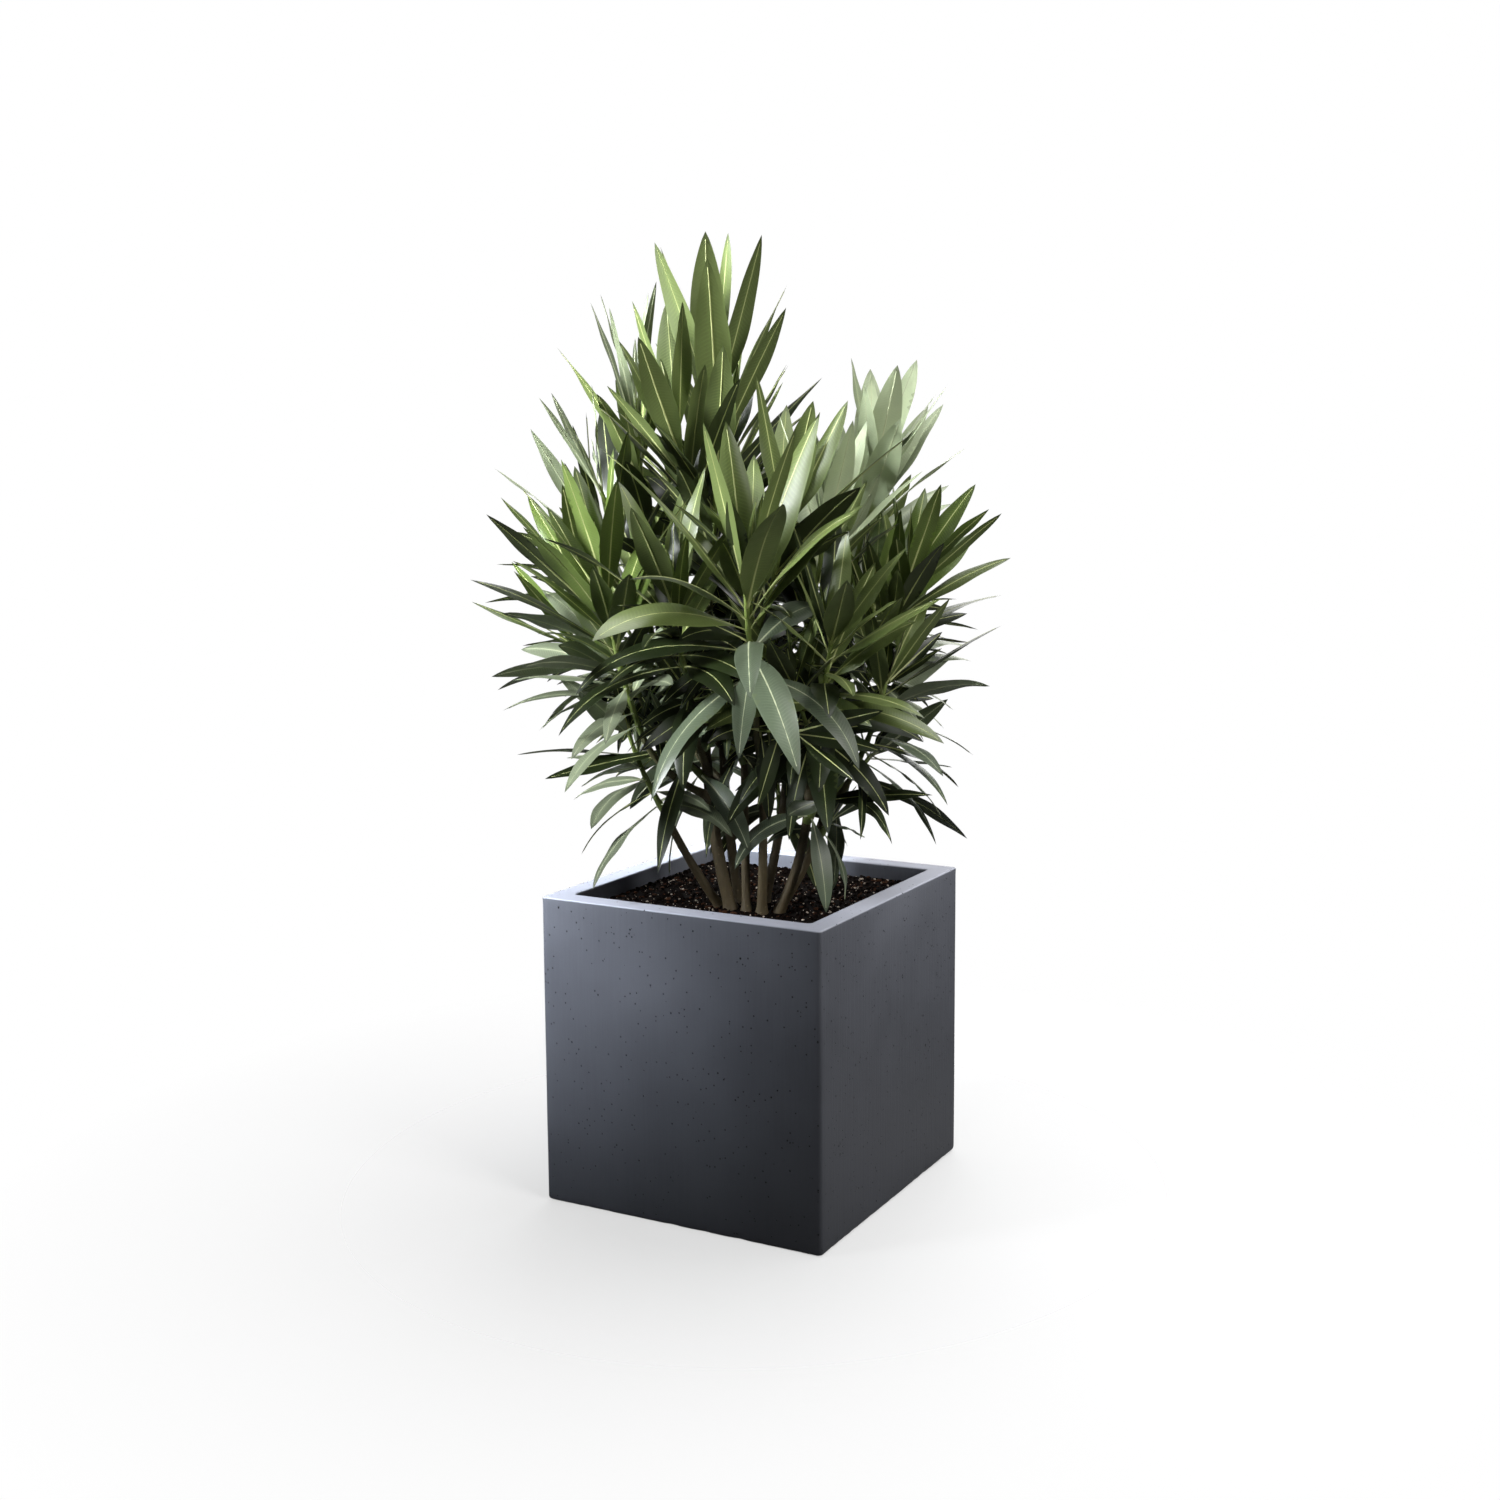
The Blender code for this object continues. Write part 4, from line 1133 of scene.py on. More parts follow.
class Twig:
    """A leafy twig of a mass, and how its whorls of leaves stand."""

    def __init__(self, mass, name, limb, leaf_length, whorls, angles, droop, phase):
        self.mass = mass
        self.name = name
        self.limb = limb
        self.leaf_length = leaf_length
        self.whorls = whorls
        self.angles = angles
        self.droop = droop
        self.phase = phase
        self.piece = Piece(mass, limb.shell())
        self.leaves = []

    def whorl(self, number):
        """Share of the twig, angle, leaf length and droop of a whorl, counted from the tip."""
        age = number / (self.whorls - 1)
        share = TOP_WHORL_SHARE - WHORL_SPAN * age**WHORL_CROWDING
        top_angle, low_angle = self.angles
        angle = top_angle + (low_angle - top_angle) * age**ANGLE_EASE
        grown = min(1.0, TOP_LEAF_LENGTH + LENGTH_GAIN * number)
        length = self.leaf_length * grown * (1 - OLD_LEAF_LOSS * age**2)
        droop = self.droop * (TOP_DROOP + (1 - TOP_DROOP) * age**DROOP_EASE)
        return share, angle, length, droop

    def grow_whorl(self, number, crown, between=False):
        for leaf in range(LEAVES_IN_WHORL):
            self.grow_leaf(number, leaf, crown, between)

    def grow_leaf(self, number, leaf, crown, between):
        """Adds one leaf of a whorl, aimed afresh while it would touch something, or leaves it out.
        Leaves between the coarse whorls are shorter, stand in the gaps and keep inside the crown."""
        share, angle, length, droop = self.whorl(number)
        turn = self.phase + WHORL_TURN * number + 360 / LEAVES_IN_WHORL * leaf
        if between:
            length *= BETWEEN_LENGTH
            turn += BETWEEN_TURN
        chance = Random(f"{self.name} {number} {leaf}")
        for attempt in range(LEAF_TRIES):
            aim = leaf_aim(
                self.limb,
                share,
                turn + chance.uniform(-TURN_JITTER, TURN_JITTER) * (1 + attempt),
                angle + chance.uniform(-ANGLE_JITTER, ANGLE_JITTER) * (1 + attempt),
                length * chance.uniform(*LENGTH_RANGE) * (1 - SHORTER_EACH_TRY * attempt),
                droop * chance.uniform(*DROOP_RANGE),
                chance.uniform(-ROLL_JITTER, ROLL_JITTER),
            )
            whole = coarse_leaf(aim, 0.0, LEAF_CLEARANCE)
            if not clear_of_planter(whole[0]) or between and not within_crown(whole[0]):
                continue
            piece = Piece(self.mass, whole, coarse_leaf(aim, FREE_LEAF_SHARE, LEAF_CLEARANCE))
            if crown.has_room_for(piece, self.piece):
                crown.take(piece)
                self.leaves.append((aim, number / (self.whorls - 1)))
                return


def stem_of(mass, limbs):
    """The main stem of a mass, as a leafy twig."""
    name, parent, share, tip, leaf_length, whorls, top_angle, low_angle, droop, phase, _ = mass
    radii = TWIG_RADIUS, TWIG_TIP_RADIUS
    limb = grown_from(limbs[parent], share, plant_place(*tip), *radii, TWIG_SIDES, TWIG_BOW)
    return Twig(name, name, limb, leaf_length, whorls, (top_angle, low_angle), droop, phase)


def side_twig_of(stem, number, crown):
    """A side twig of a stem, turned further round it until it has room, or None."""
    chance = Random(f"{stem.name} side {number}")
    share = SIDE_TWIG_FIRST_SHARE + SIDE_TWIG_STEP * number
    root, along, across, over = frames_along(stem.limb.ends, (0.0, share))[1]
    reach = stem.limb.length * chance.uniform(*SIDE_TWIG_LENGTH)
    first_turn = stem.phase + GOLDEN_ANGLE * (number + 1)
    first_turn += chance.uniform(-SIDE_TWIG_TURN_JITTER, SIDE_TWIG_TURN_JITTER)
    for attempt in range(SIDE_TWIG_TRIES):
        turn = math.radians(first_turn + attempt * 360 / SIDE_TWIG_TRIES)
        outwards = spoke(across, over, turn)
        tip = root + (along + outwards * SIDE_TWIG_SPREAD).normalized() * reach
        radii = TWIG_RADIUS * SIDE_TWIG_THINNESS, TWIG_TIP_RADIUS * SIDE_TWIG_THINNESS
        limb = Limb(bowed(root, tip, TWIG_BOW), *radii, TWIG_SIDES, stem.limb, share)
        twig = Twig(
            stem.mass,
            f"{stem.name}_{number + 1}",
            limb,
            stem.leaf_length * SIDE_TWIG_LEAF_LENGTH,
            max(FEWEST_WHORLS, stem.whorls - SIDE_TWIG_FEWER_WHORLS),
            stem.angles,
            stem.droop,
            stem.phase + SIDE_TWIG_PHASE,
        )
        if crown.has_room_for(twig.piece, stem.piece):
            return twig
    return None


def grow_coarse_crown(limbs):
    """The twigs and leaves that the solids have. Each round fills the next whorl of every twig."""
    crown = Crown(limbs)
    stems = [stem_of(mass, limbs) for mass in MASSES]
    for stem in stems:
        crown.take(stem.piece)
    twigs = list(stems)
    for stem, (*_, side_twigs) in zip(stems, MASSES):
        for number in range(side_twigs):
            twig = side_twig_of(stem, number, crown)
            if twig:
                crown.take(twig.piece)
                twigs.append(twig)
    for number in range(max(twig.whorls for twig in twigs)):
        for twig in twigs:
            if number < twig.whorls:
                twig.grow_whorl(number, crown)
    return crown, twigs


def grow_between(crown, twigs):
    """Whorls halfway between the older ones of the coarse crown."""
    twigs = [twig for twig in twigs if not twig.mass.startswith("foliage_skirt")]
    for number in range(max(twig.whorls for twig in twigs) - 1):
        for twig in twigs:
            youngest = 0.0 if twig.mass in FULL_TO_THE_TIP else BETWEEN_AGE
            if youngest < (number + 0.5) / (twig.whorls - 1) < 1:
                twig.grow_whorl(number + 0.5, crown, between=True)


def grow_shoots(crown, limbs):
    """Short leafy shoots along the upper limbs, in the shade of the crown."""
    shoots = []
    for name, limb in limbs.items():
        for place, share in enumerate(SHOOT_SHARES):
            chance = Random(f"{name} shoot {place}")
            root, along, across, over = frames_along(limb.ends, (0.0, share))[1]
            if root.z < SHOOT_LOWEST:
                continue
            turn = math.radians(GOLDEN_ANGLE * place + chance.uniform(0, 360))
            outwards = spoke(across, over, turn)
            reach = SHOOT_LENGTH * chance.uniform(0.8, 1.25)
            tip = root + (along * SHOOT_LEAN + outwards).normalized() * reach
            radii = limb.radius_at(share) * 0.5, TWIG_TIP_RADIUS * 0.6
            thin = Limb(bowed(root, tip, TWIG_BOW), *radii, TWIG_SIDES, limb, share)
            length = SHOOT_LEAF_LENGTH * chance.uniform(0.85, 1.2)
            growth = length, SHOOT_WHORLS, SHOOT_ANGLES, SHOOT_DROOP, chance.uniform(0, 360)
            shoots.append(Twig(f"shoot_{name}", f"{name}_shoot_{place}", thin, *growth))
    for number in range(SHOOT_WHORLS):
        for shoot in shoots:
            shoot.grow_whorl(number, crown, between=True)
    return [shoot for shoot in shoots if shoot.leaves]


# ---- Fine limbs


def limb_stations(limb, pitch, slimness):
    """Shares, places, directions across and radii from inside the parent to the limb's tip."""
    steps = max(4, round(limb.length / pitch))
    shares = [step / steps for step in range(steps + 1)]
    stations = [
        (share, place, across, over, limb.radius_at(share) * slimness)
        for share, (place, _, across, over) in zip(shares, frames_along(limb.ends, shares))
    ]
    if not limb.parent:
        return stations
    root = curve_point(limb.parent.ends, limb.share)
    _, first, across, over, radius = stations[0]
    collar = min(limb.parent.radius_at(limb.share) * COLLAR_INSET, radius * COLLAR_WIDTH)
    for back in (0.5, 1.0):
        stations.insert(0, (0.0, first.lerp(root, back), across, over, collar))
    eased = []
    for share, place, across, over, radius in stations:
        swelling = (collar / (limb.radius * slimness) - 1) * math.exp(-share * limb.length / COLLAR_LENGTH)
        eased.append((share, place, across, over, max(radius, min(collar, radius * (1 + swelling)))))
    return eased


def bark_relief(place, turn, distance, seed):
    """How far the bark stands out here: long soft ridges and a scar ring at every old whorl."""
    ridge = noise.noise(Vector((math.cos(turn) * 1.6, math.sin(turn) * 1.6, distance * BARK_RIDGES + seed)))
    fine = noise.noise(place * BARK_GRAIN)
    from_scar = (distance + seed * 0.37) % SCAR_SPACING - SCAR_SPACING / 2
    third = 0.55 + 0.45 * math.cos(3 * turn + seed * 2.1 + math.floor(distance / SCAR_SPACING))
    scar = SCAR_HEIGHT * third * math.exp(-((from_scar / SCAR_LENGTH) ** 2))
    return BARK_RELIEF * (1.6 * ridge + 0.5 * fine) + scar


def make_bark(name, limb, seed, material):
    """One cane or bough as a mesh with its bark's relief."""
    stations = limb_stations(limb, BARK_PITCH, 1.0)
    turns = turns_round(BARK_SIDES)
    rings = []
    for share, place, across, over, radius in stations:
        distance = share * limb.length
        if not limb.parent:
            radius *= 1 + CANE_FLARE * max(0.0, 1 - distance / CANE_FLARE_HEIGHT) ** 2
        ring = []
        for turn in turns:
            out = radius + bark_relief(place, turn, distance, seed)
            ring += ring_round(place, across, over, out, [turn])
        rings.append(ring)
        if not limb.parent and share == 0.0:
            rings[0] = [Vector((point.x, point.y, limb.ends[0].z - CANE_SUNK)) for point in rings[0]]
    place, rise = stations[-1][1], curve_direction(limb.ends, 1.0) * LIMB_END_RISE
    rings.append([place.lerp(point, LIMB_END_WIDTH) + rise for point in rings[-1]])
    shape = Shape()
    shape.add(*tube(rings, [station[0] for station in stations] + [1.0]))
    shape.piece(f"bark_{name}", material, "bough" if limb.parent else "cane", [name])


def make_limbs(table, first_seed, material):
    """The bark of every limb in the table."""
    limbs = grow_limbs()
    for seed, (name, *_) in enumerate(table, first_seed):
        make_bark(name, limbs[name], seed, material)


def add_stem(shape, twig):
    """A green stem, a little swollen where a whorl of leaves stands."""
    stations = limb_stations(twig.limb, STEM_PITCH, STEM_SLIMNESS)
    nodes = [twig.whorl(number)[0] for number in range(twig.whorls)]
    turns = turns_round(STEM_SIDES)
    rings = []
    for share, place, across, over, radius in stations:
        nearest = min(abs(share - node) for node in nodes) * twig.limb.length
        radius *= 1 + STEM_NODE_SWELLING * math.exp(-((nearest / STEM_NODE_LENGTH) ** 2))
        rings.append(ring_round(place, across, over, radius, turns))
    tip = curve_point(twig.limb.ends, 1.0) + curve_direction(twig.limb.ends, 1.0) * STEM_END_RISE
    rings.append([tip.lerp(point, STEM_END_WIDTH) for point in rings[-1]])
    shape.add(*tube(rings, [station[0] for station in stations] + [1.0]))


# ---- Fine leaves


def blade_profile(share):
    """Half width of the blade at this share of its length, as a share of the greatest."""
    if share < BLADE_WIDEST:
        rise = (share - BLADE_START) / (BLADE_WIDEST - BLADE_START)
        return math.sin(math.pi / 2 * max(0.0, rise)) ** BLADE_FOOT_CURVE
    fall = (share - BLADE_WIDEST) / (1 - BLADE_WIDEST)
    return math.cos(math.pi / 2 * fall) ** BLADE_TIP_CURVE


class LeafForm:
    """One leaf's own width, fold, twist and waviness, and its smooth path."""

    def __init__(self, aim, chance, look, breadth=1.0):
        self.length = aim[3]
        self.path = leaf_path(*aim)
        self.half_width = self.length * look.leaf_width / 2 * breadth * chance.uniform(*OWN_WIDTH)
        self.fold = math.tan(look.leaf_fold * chance.uniform(*OWN_FOLD))
        self.arch = chance.uniform(*OWN_ARCH)
        self.twist = look.leaf_twist * chance.uniform(-1, 1)
        self.wave = look.leaf_wave * chance.uniform(*OWN_WAVE)
        self.wave_turn = chance.uniform(0, math.tau)
        self.wave_count = chance.uniform(*OWN_RIPPLES)
        self.sway = self.length * BLADE_SWAY * chance.uniform(-1, 1)
        if not within_crown([self.frame_at(1.0)[0]]):
            self.sway = 0.0

    def frame_at(self, share):
        """Place, heading, normal and side at this share, between the path's own points."""
        along = min(max(share, 0.0), 1.0) * LEAF_STEPS
        step = min(int(along), LEAF_STEPS - 1)
        part = along - step
        (start, start_heading, start_normal), (stop, stop_heading, stop_normal) = self.path[step : step + 2]
        bend = part * (1 - part) * (self.length / LEAF_STEPS) * 0.5
        place = start.lerp(stop, part) + (start_heading - stop_heading) * bend * 0.5
        heading = start_heading.lerp(stop_heading, part).normalized()
        normal = start_normal.lerp(stop_normal, part)
        turn = self.twist * (share - 0.25)
        normal = (normal - heading * normal.dot(heading)).normalized()
        side = heading.cross(normal)
        normal, side = spoke(normal, side, turn), spoke(side, -normal, turn)
        return place + side * self.sway * share**2, heading, normal, side

    def rise_at(self, share, column):
        """How high the blade's surface stands over its midrib here."""
        half = self.half_width * blade_profile(share)
        reach = abs(column)
        lifted = half * (self.fold * reach - self.arch * reach**2)
        turn = math.tau * self.wave_count * share + self.wave_turn
        ripple = math.sin(turn + (2.0 if column < 0 else 0.0))
        return lifted + self.wave * ripple * reach**2 * blade_profile(share)


def add_blade(shape, form):
    """The blade as a thin closed sheet: five columns on its face, three more on its back."""
    columns = [(column, 0.0) for column in BLADE_COLUMNS] + [(column, 1.0) for column in BACK_COLUMNS]
    count = len(columns)
    shares = [(step / BLADE_STATIONS) ** BLADE_CROWDING for step in range(BLADE_STATIONS)]
    shares = [BLADE_START + (1 - BLADE_START) * share for share in shares]
    points = []
    for share in shares:
        place, _, normal, side = form.frame_at(share)
        half = form.half_width * max(BLADE_LEAST_WIDTH, blade_profile(share))
        for column, back in columns:
            rise = form.rise_at(share, column) - back * BLADE_THICKNESS
            points.append(place + side * half * column + normal * rise)
    points.append(form.frame_at(1.0)[0])
    faces = [tuple(range(count))]
    corners = [[(0.5, shares[0])] * count]
    for level in range(BLADE_STATIONS - 1):
        low, high = shares[level], shares[level + 1]
        rings = ring_faces(level * count, (level + 1) * count, count)
        for (a, b, c, d), start, end in zip(rings, STRIP_STARTS, STRIP_ENDS):
            faces.append((a, d, c, b))
            corners.append([(start, low), (start, high), (end, high), (end, low)])
    last, tip = (BLADE_STATIONS - 1) * count, len(points) - 1
    for number, (start, end) in enumerate(zip(STRIP_STARTS, STRIP_ENDS)):
        faces.append((last + number, tip, last + (number + 1) % count))
        corners.append([(start, shares[-1]), ((start + end) / 2, 1.0), (end, shares[-1])])
    shape.add(points, faces, corners)


def add_midrib(shape, form):
    """The midrib and stalk: a slim four-sided rib standing out of the blade's face and back."""
    shares = [MIDRIB_END * step / MIDRIB_STATIONS for step in range(MIDRIB_STATIONS + 1)]
    rings = []
    for share in shares:
        place, _, normal, side = form.frame_at(share)
        half = MIDRIB_TIP + (MIDRIB_BASE - MIDRIB_TIP) * (1 - share) ** MIDRIB_TAPER
        side *= half * (0.75 + 0.25 * form.length / 0.15)
        middle = place - normal * BLADE_THICKNESS / 2
        rise = normal * (BLADE_THICKNESS / 2 + MIDRIB_RISE * (1 - 0.5 * share))
        keel = normal * (BLADE_THICKNESS / 2 + MIDRIB_KEEL * (1 - 0.5 * share))
        rings.append([middle - keel, middle - side, middle + rise, middle + side])
    shape.add(*tube(rings, shares))


def tone_of(twig, age, chance):
    """The colour kind of a leaf, by its mass and its age, with a share of the rest turned to the near-black
    tone of painted shade.
    """
    if twig.mass.startswith("foliage_skirt"):
        tones = SKIRT_TONES
    elif twig.mass.startswith("shoot"):
        tones = SHOOT_TONES
    else:
        tones = TONES.get(twig.mass, USUAL_TONES)
    tone = tones[sum(age > limit for limit in TONE_AGES)]
    return "deep" if chance.random() < DARKER_SHARE[tone] else tone


def young_leaves(twig):
    """The small upright leaves round a stem's tip."""
    aims = []
    chance = Random(f"{twig.name} young")
    for leaf in range(YOUNG_LEAVES):
        turn = twig.phase + BETWEEN_TURN + 360 / YOUNG_LEAVES * leaf
        length = twig.leaf_length * YOUNG_LEAF_LENGTH * chance.uniform(0.8, 1.2)
        angle, roll = chance.uniform(6, 16), chance.uniform(-10, 10)
        aims.append(leaf_aim(twig.limb, YOUNG_LEAF_SHARE, turn, angle, length, YOUNG_LEAF_DROOP, roll))
    return aims


def make_foliage(look):
    """Green stems, blades by colour kind and midribs, in place of every mass of leaves."""
    limbs = grow_limbs()
    crown, twigs = grow_coarse_crown(limbs)
    grow_between(crown, twigs)
    twigs += grow_shoots(crown, limbs)
    masses = [mass[0] for mass in MASSES]
    stems = Shape()
    ribs = {"yellow": Shape(), "pale": Shape()}
    blades = {}
    homes = {}
    for twig in twigs:
        add_stem(stems, twig)
        leaves = list(twig.leaves)
        if twig.mass in masses:
            leaves += [(aim, 0.0) for aim in young_leaves(twig)]
        for number, (aim, age) in enumerate(leaves):
            breadth = YOUNG_WIDTH.get(twig.mass, 1.0) if age < YOUNG_AGE else 1.0
            form = LeafForm(aim, Random(f"{twig.name} form {number}"), look, breadth)
            tone = tone_of(twig, age, Random(f"{twig.name} tone {number}"))
            add_blade(blades.setdefault(tone, Shape()), form)
            add_midrib(ribs["pale" if tone in PALE_RIBBED else "yellow"], form)
            if twig.mass in masses:
                homes.setdefault(tone, set()).add(twig.mass)
    stems.piece("green_stems", stem_material(look.stem), "foliage", masses)
    for tone, shape in sorted(blades.items()):
        material = leaf_material(tone, getattr(look, tone), look.leaf_back)
        shape.piece(f"leaves_{tone}", material, "foliage", sorted(homes[tone]))
    for kind, colour in (("yellow", look.midrib), ("pale", look.pale_midrib)):
        ribs[kind].piece(f"midribs_{kind}", midrib_material(f"Midrib {kind}", colour), "foliage", masses)


# ---- Stage


def area_light(name, place, target, size, power, beam, colour):
    lamp = bpy.data.lights.new(name, "AREA")
    lamp.shape = "RECTANGLE"
    lamp.size, lamp.size_y = size
    lamp.energy = power
    lamp.spread = math.radians(beam)
    lamp.color = colour
    item = new_object(name, lamp)
    item.location = place
    item.rotation_euler = (Vector(target) - Vector(place)).to_track_quat("-Z", "Y").to_euler()
    item.visible_camera = False
    return item


def make_lamps():
    planter = bpy.data.collections.new("Planter alone")
    planter.objects.link(bpy.data.objects["clay_planter"])
    for name, *settings in LAMPS:
        lamp = area_light(name, *settings)
        if name in PLANTER_LAMPS:
            lamp.light_linking.receiver_collection = planter


def make_floor(look):
    """A wide pale floor that thins out into the background far from the plant."""
    shape = bmesh.new()
    bmesh.ops.create_circle(shape, cap_ends=True, segments=FLOOR_SIDES, radius=FLOOR_RADIUS)
    mesh = bpy.data.meshes.new("studio_floor")
    shape.to_mesh(mesh)
    shape.free()
    material, tree, place = new_material("Studio floor")
    far = put(tree, "ShaderNodeVectorMath", {0: place}, operation="LENGTH")["Value"]
    alpha = ranged(tree, far, look.floor_share, 0.0, *look.floor_fade)
    inputs = {"Base Color": opaque(look.floor), "Roughness": FLOOR_ROUGHNESS, "Alpha": alpha}
    feed(tree, tree.nodes["Principled BSDF"], inputs)
    mesh.materials.append(material)
    new_object("studio_floor", mesh)


def make_world(look):
    """A background that looks white and lights the plant only faintly."""
    world = bpy.data.worlds.new("Studio")
    world.use_nodes = True
    tree = world.node_tree
    seen = put(tree, "ShaderNodeLightPath", {})["Is Camera Ray"]
    strength = ranged(tree, seen, look.sky_strength, 1.0)
    feed(tree, tree.nodes["Background"], {"Color": opaque(look.sky), "Strength": strength})
    bpy.context.scene.world = world
    bpy.context.scene.view_settings.view_transform = "Standard"


def make_camera():
    lens = bpy.data.cameras.new("Camera")
    lens.lens = CAMERA_LENS
    lens.shift_x, lens.shift_y = CAMERA_SHIFT
    item = new_object("Camera", lens)
    item.location = CAMERA_PLACE
    item.rotation_euler = (math.radians(CAMERA_TILT), 0.0, math.radians(CAMERA_TURN))
    bpy.context.scene.camera = item


# ---- Settings


def colour_setting(name, description, default):
    settings = {"min": 0.0, "max": 1.0, "size": 3, "subtype": "COLOR"}
    return FloatVectorProperty(name=name, description=description, default=default, **settings)


def share_setting(name, description, default):
    return FloatProperty(name=name, description=description, default=default, min=0.0, max=1.0)


def angle_setting(name, description, degrees):
    default = math.radians(degrees)
    return FloatProperty(name=name, description=description, default=default, subtype="ANGLE")


def length_setting(name, description, default, **settings):
    return FloatProperty(name=name, description=description, default=default, unit="LENGTH", **settings)


def count_setting(name, description, default):
    return IntProperty(name=name, description=description, default=default, min=0)


class PlanterLook(bpy.types.PropertyGroup):
    """Colours and pinholes of the planter."""

    clay: colour_setting("Clay", "Colour of the fibre-clay", (0.041, 0.043, 0.050))
    rim: colour_setting("Rim", "Colour of the dusty rim", (0.178, 0.184, 0.212))
    # Painted shade: how much darker the clay is painted at its foot than at its top.
    damp: share_setting("Damp", "How much the foot darkens", 0.55)
    pit_spacing: length_setting("Pinholes", "Mean distance between the larger pinholes", 0.0062, min=0.001)


class SoilLook(bpy.types.PropertyGroup):
    """Colour and crumbs of the soil."""

    soil: colour_setting("Soil", "Colour of the moist soil", (0.0042, 0.0026, 0.0020))
    bark: colour_setting("Bark chips", "Colour of the bits of bark in the soil", (0.044, 0.020, 0.011))
    speck: colour_setting("Specks", "Colour of the pale specks in the soil", (0.70, 0.60, 0.50))
    crumbs: count_setting("Crumbs", "Number of dark crumbs", 2600)
    chips: count_setting("Bark chips", "Number of bits of bark", 900)
    specks: count_setting("Specks", "Number of pale specks", 800)


class BarkLook(bpy.types.PropertyGroup):
    """Colours of the canes and boughs."""

    old: colour_setting("Old bark", "Colour of the canes' foot", (0.064, 0.044, 0.016))
    young: colour_setting("Young bark", "Colour of the canes' tip", (0.070, 0.058, 0.022))
    green: colour_setting("Green bark", "Colour of the boughs' tip", (0.120, 0.135, 0.045))
    grey: colour_setting("Grey bark", "Colour of the bark's grey streaks", (0.088, 0.067, 0.030))


class FoliageLook(bpy.types.PropertyGroup):
    """Colours and form of the leaves."""

    # Painted shade: near-black leaves that stand in for the shade inside the crown.
    deep: colour_setting("Deep", "Colour of old shaded leaves", (0.014, 0.022, 0.006))
    mid: colour_setting("Middle", "Colour of most leaves", (0.103, 0.137, 0.040))
    fresh: colour_setting("Fresh", "Colour of the fresh green leaves", (0.090, 0.136, 0.025))
    # Painted light: the haze and sheen of light on leaves, laid in as a pale colour at any age.
    pale: colour_setting("Pale", "Colour of the pale young leaves", (0.445, 0.515, 0.335))
    # Partly painted sheen: the greyish colour of the leaves at left with their whitish sheen laid in.
    silver: colour_setting("Silver", "Colour of the light greyish leaves at left", (0.205, 0.240, 0.155))
    # Partly painted reflection: the grey-green of lower leaves with the bluish sheen of the bright
    # surroundings laid in.
    grey: colour_setting("Grey", "Colour of the bluish lower leaves", (0.092, 0.118, 0.074))
    leaf_back: colour_setting("Leaf back", "Colour of the leaves' backs", (0.150, 0.190, 0.065))
    midrib: colour_setting("Midrib", "Colour of the midribs", (0.500, 0.540, 0.230))
    pale_midrib: colour_setting("Pale midrib", "Colour of the pale leaves' midribs", (0.500, 0.540, 0.350))
    stem: colour_setting("Stem", "Colour of the green stems", (0.150, 0.200, 0.048))
    leaf_width: share_setting("Leaf width", "Width of a blade as a share of its length", 0.205)
    leaf_fold: angle_setting("Leaf fold", "How far each half of a blade rises from the midrib", 9)
    leaf_twist: angle_setting("Leaf twist", "Most that a blade turns over its length", 32)
    leaf_wave: length_setting("Leaf wave", "Height of the ripples along a margin", 0.0013)


class StageLook(bpy.types.PropertyGroup):
    """Floor and background."""

    floor: colour_setting("Floor", "Colour of the floor", (0.84, 0.84, 0.85))
    floor_share: share_setting("Floor share", "How much the floor hides the white background", 0.45)
    floor_fade: FloatVectorProperty(
        name="Floor fade",
        description="How far out the floor starts and stops to thin out",
        default=(0.20, 0.75),
        size=2,
        unit="LENGTH",
    )
    sky: colour_setting("Background", "Colour of the background light", (1.0, 1.0, 1.0))
    sky_strength: share_setting("Background light", "How strongly the background lights the plant", 0.032)


# ---- Operators and panel


class OLEANDER_OT_planter(bpy.types.Operator):
    """Make the fibre-clay planter"""

    bl_idname = "oleander.planter"
    bl_label = "Planter"

    def execute(self, context):
        make_planter(context.scene.planter_look)
        return {"FINISHED"}


class OLEANDER_OT_soil(bpy.types.Operator):
    """Make the potting soil with its crumbs, bits of bark and specks"""

    bl_idname = "oleander.soil"
    bl_label = "Soil"

    def execute(self, context):
        look = context.scene.soil_look
        make_soil(soil_material("Potting soil", look.soil, 0.45, 1.5, 0.88))
        materials = (
            soil_material("Soil crumb", look.soil, 0.4, 1.9, 0.88),
            soil_material("Bark chip", look.bark, 0.5, 1.7, 0.8),
            soil_material("Pale speck", look.speck, 0.35, 1.0, 0.75),
        )
        counts = look.crumbs, look.chips, look.specks
        for crumb, count, material in zip(CRUMBS, counts, materials):
            make_crumbs(*crumb, count, material)
        return {"FINISHED"}


class OLEANDER_OT_canes(bpy.types.Operator):
    """Make the canes with their bark"""

    bl_idname = "oleander.canes"
    bl_label = "Canes"

    def execute(self, context):
        look = context.scene.bark_look
        make_limbs(CANES, 0, bark_material("Cane bark", look.old, look.young, look.grey))
        return {"FINISHED"}


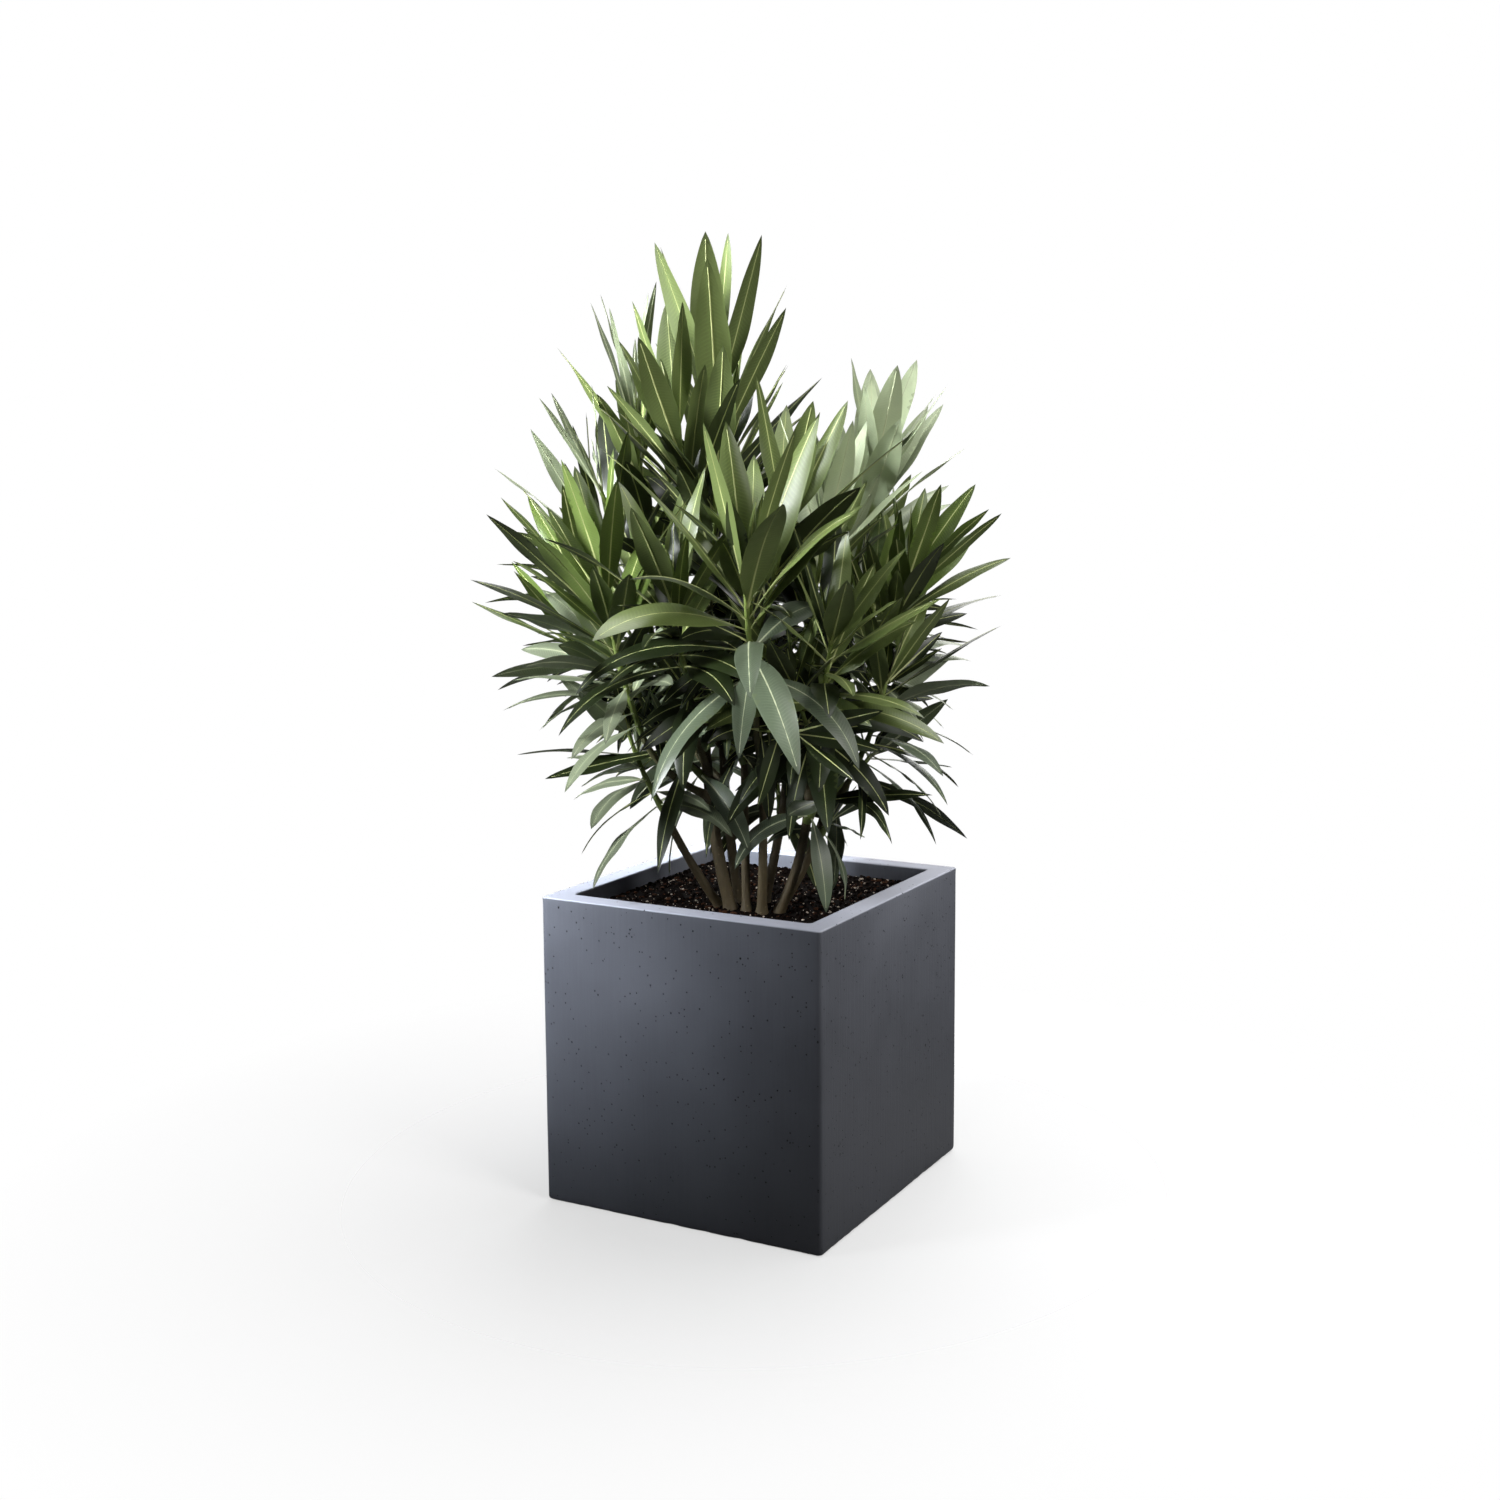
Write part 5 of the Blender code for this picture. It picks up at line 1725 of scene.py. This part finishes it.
class OLEANDER_OT_boughs(bpy.types.Operator):
    """Make the boughs with their bark"""

    bl_idname = "oleander.boughs"
    bl_label = "Boughs"

    def execute(self, context):
        look = context.scene.bark_look
        make_limbs(BOUGHS, len(CANES), bark_material("Bough bark", look.young, look.green, look.grey))
        return {"FINISHED"}


class OLEANDER_OT_foliage(bpy.types.Operator):
    """Make the green stems and the leaves"""

    bl_idname = "oleander.foliage"
    bl_label = "Foliage"

    def execute(self, context):
        make_foliage(context.scene.foliage_look)
        return {"FINISHED"}


class OLEANDER_OT_stage(bpy.types.Operator):
    """Make the floor, background, lamps and camera"""

    bl_idname = "oleander.stage"
    bl_label = "Stage"

    def execute(self, context):
        look = context.scene.stage_look
        make_floor(look)
        make_world(look)
        make_lamps()
        make_camera()
        return {"FINISHED"}


class OLEANDER_PT_panel(bpy.types.Panel):
    """Lists the oleander's pieces"""

    bl_label = "Potted oleander"
    bl_space_type = "VIEW_3D"
    bl_region_type = "UI"
    bl_category = "Oleander"

    def draw(self, context):
        for operator in OPERATORS:
            self.layout.operator(operator.bl_idname)


LOOKS = (
    ("planter_look", PlanterLook),
    ("soil_look", SoilLook),
    ("bark_look", BarkLook),
    ("foliage_look", FoliageLook),
    ("stage_look", StageLook),
)
OPERATORS = (
    OLEANDER_OT_planter,
    OLEANDER_OT_soil,
    OLEANDER_OT_canes,
    OLEANDER_OT_boughs,
    OLEANDER_OT_foliage,
    OLEANDER_OT_stage,
)


def register():
    for field, group in LOOKS:
        bpy.utils.register_class(group)
        setattr(bpy.types.Scene, field, PointerProperty(type=group))
    for item in (*OPERATORS, OLEANDER_PT_panel):
        bpy.utils.register_class(item)


def unregister():
    for item in reversed((*OPERATORS, OLEANDER_PT_panel)):
        bpy.utils.unregister_class(item)
    for field, group in reversed(LOOKS):
        delattr(bpy.types.Scene, field)
        bpy.utils.unregister_class(group)


def main():
    register()
    bpy.ops.oleander.planter()
    bpy.ops.oleander.soil()
    bpy.ops.oleander.canes()
    bpy.ops.oleander.boughs()
    bpy.ops.oleander.foliage()
    bpy.ops.oleander.stage()


if __name__ == "__main__":
    main()
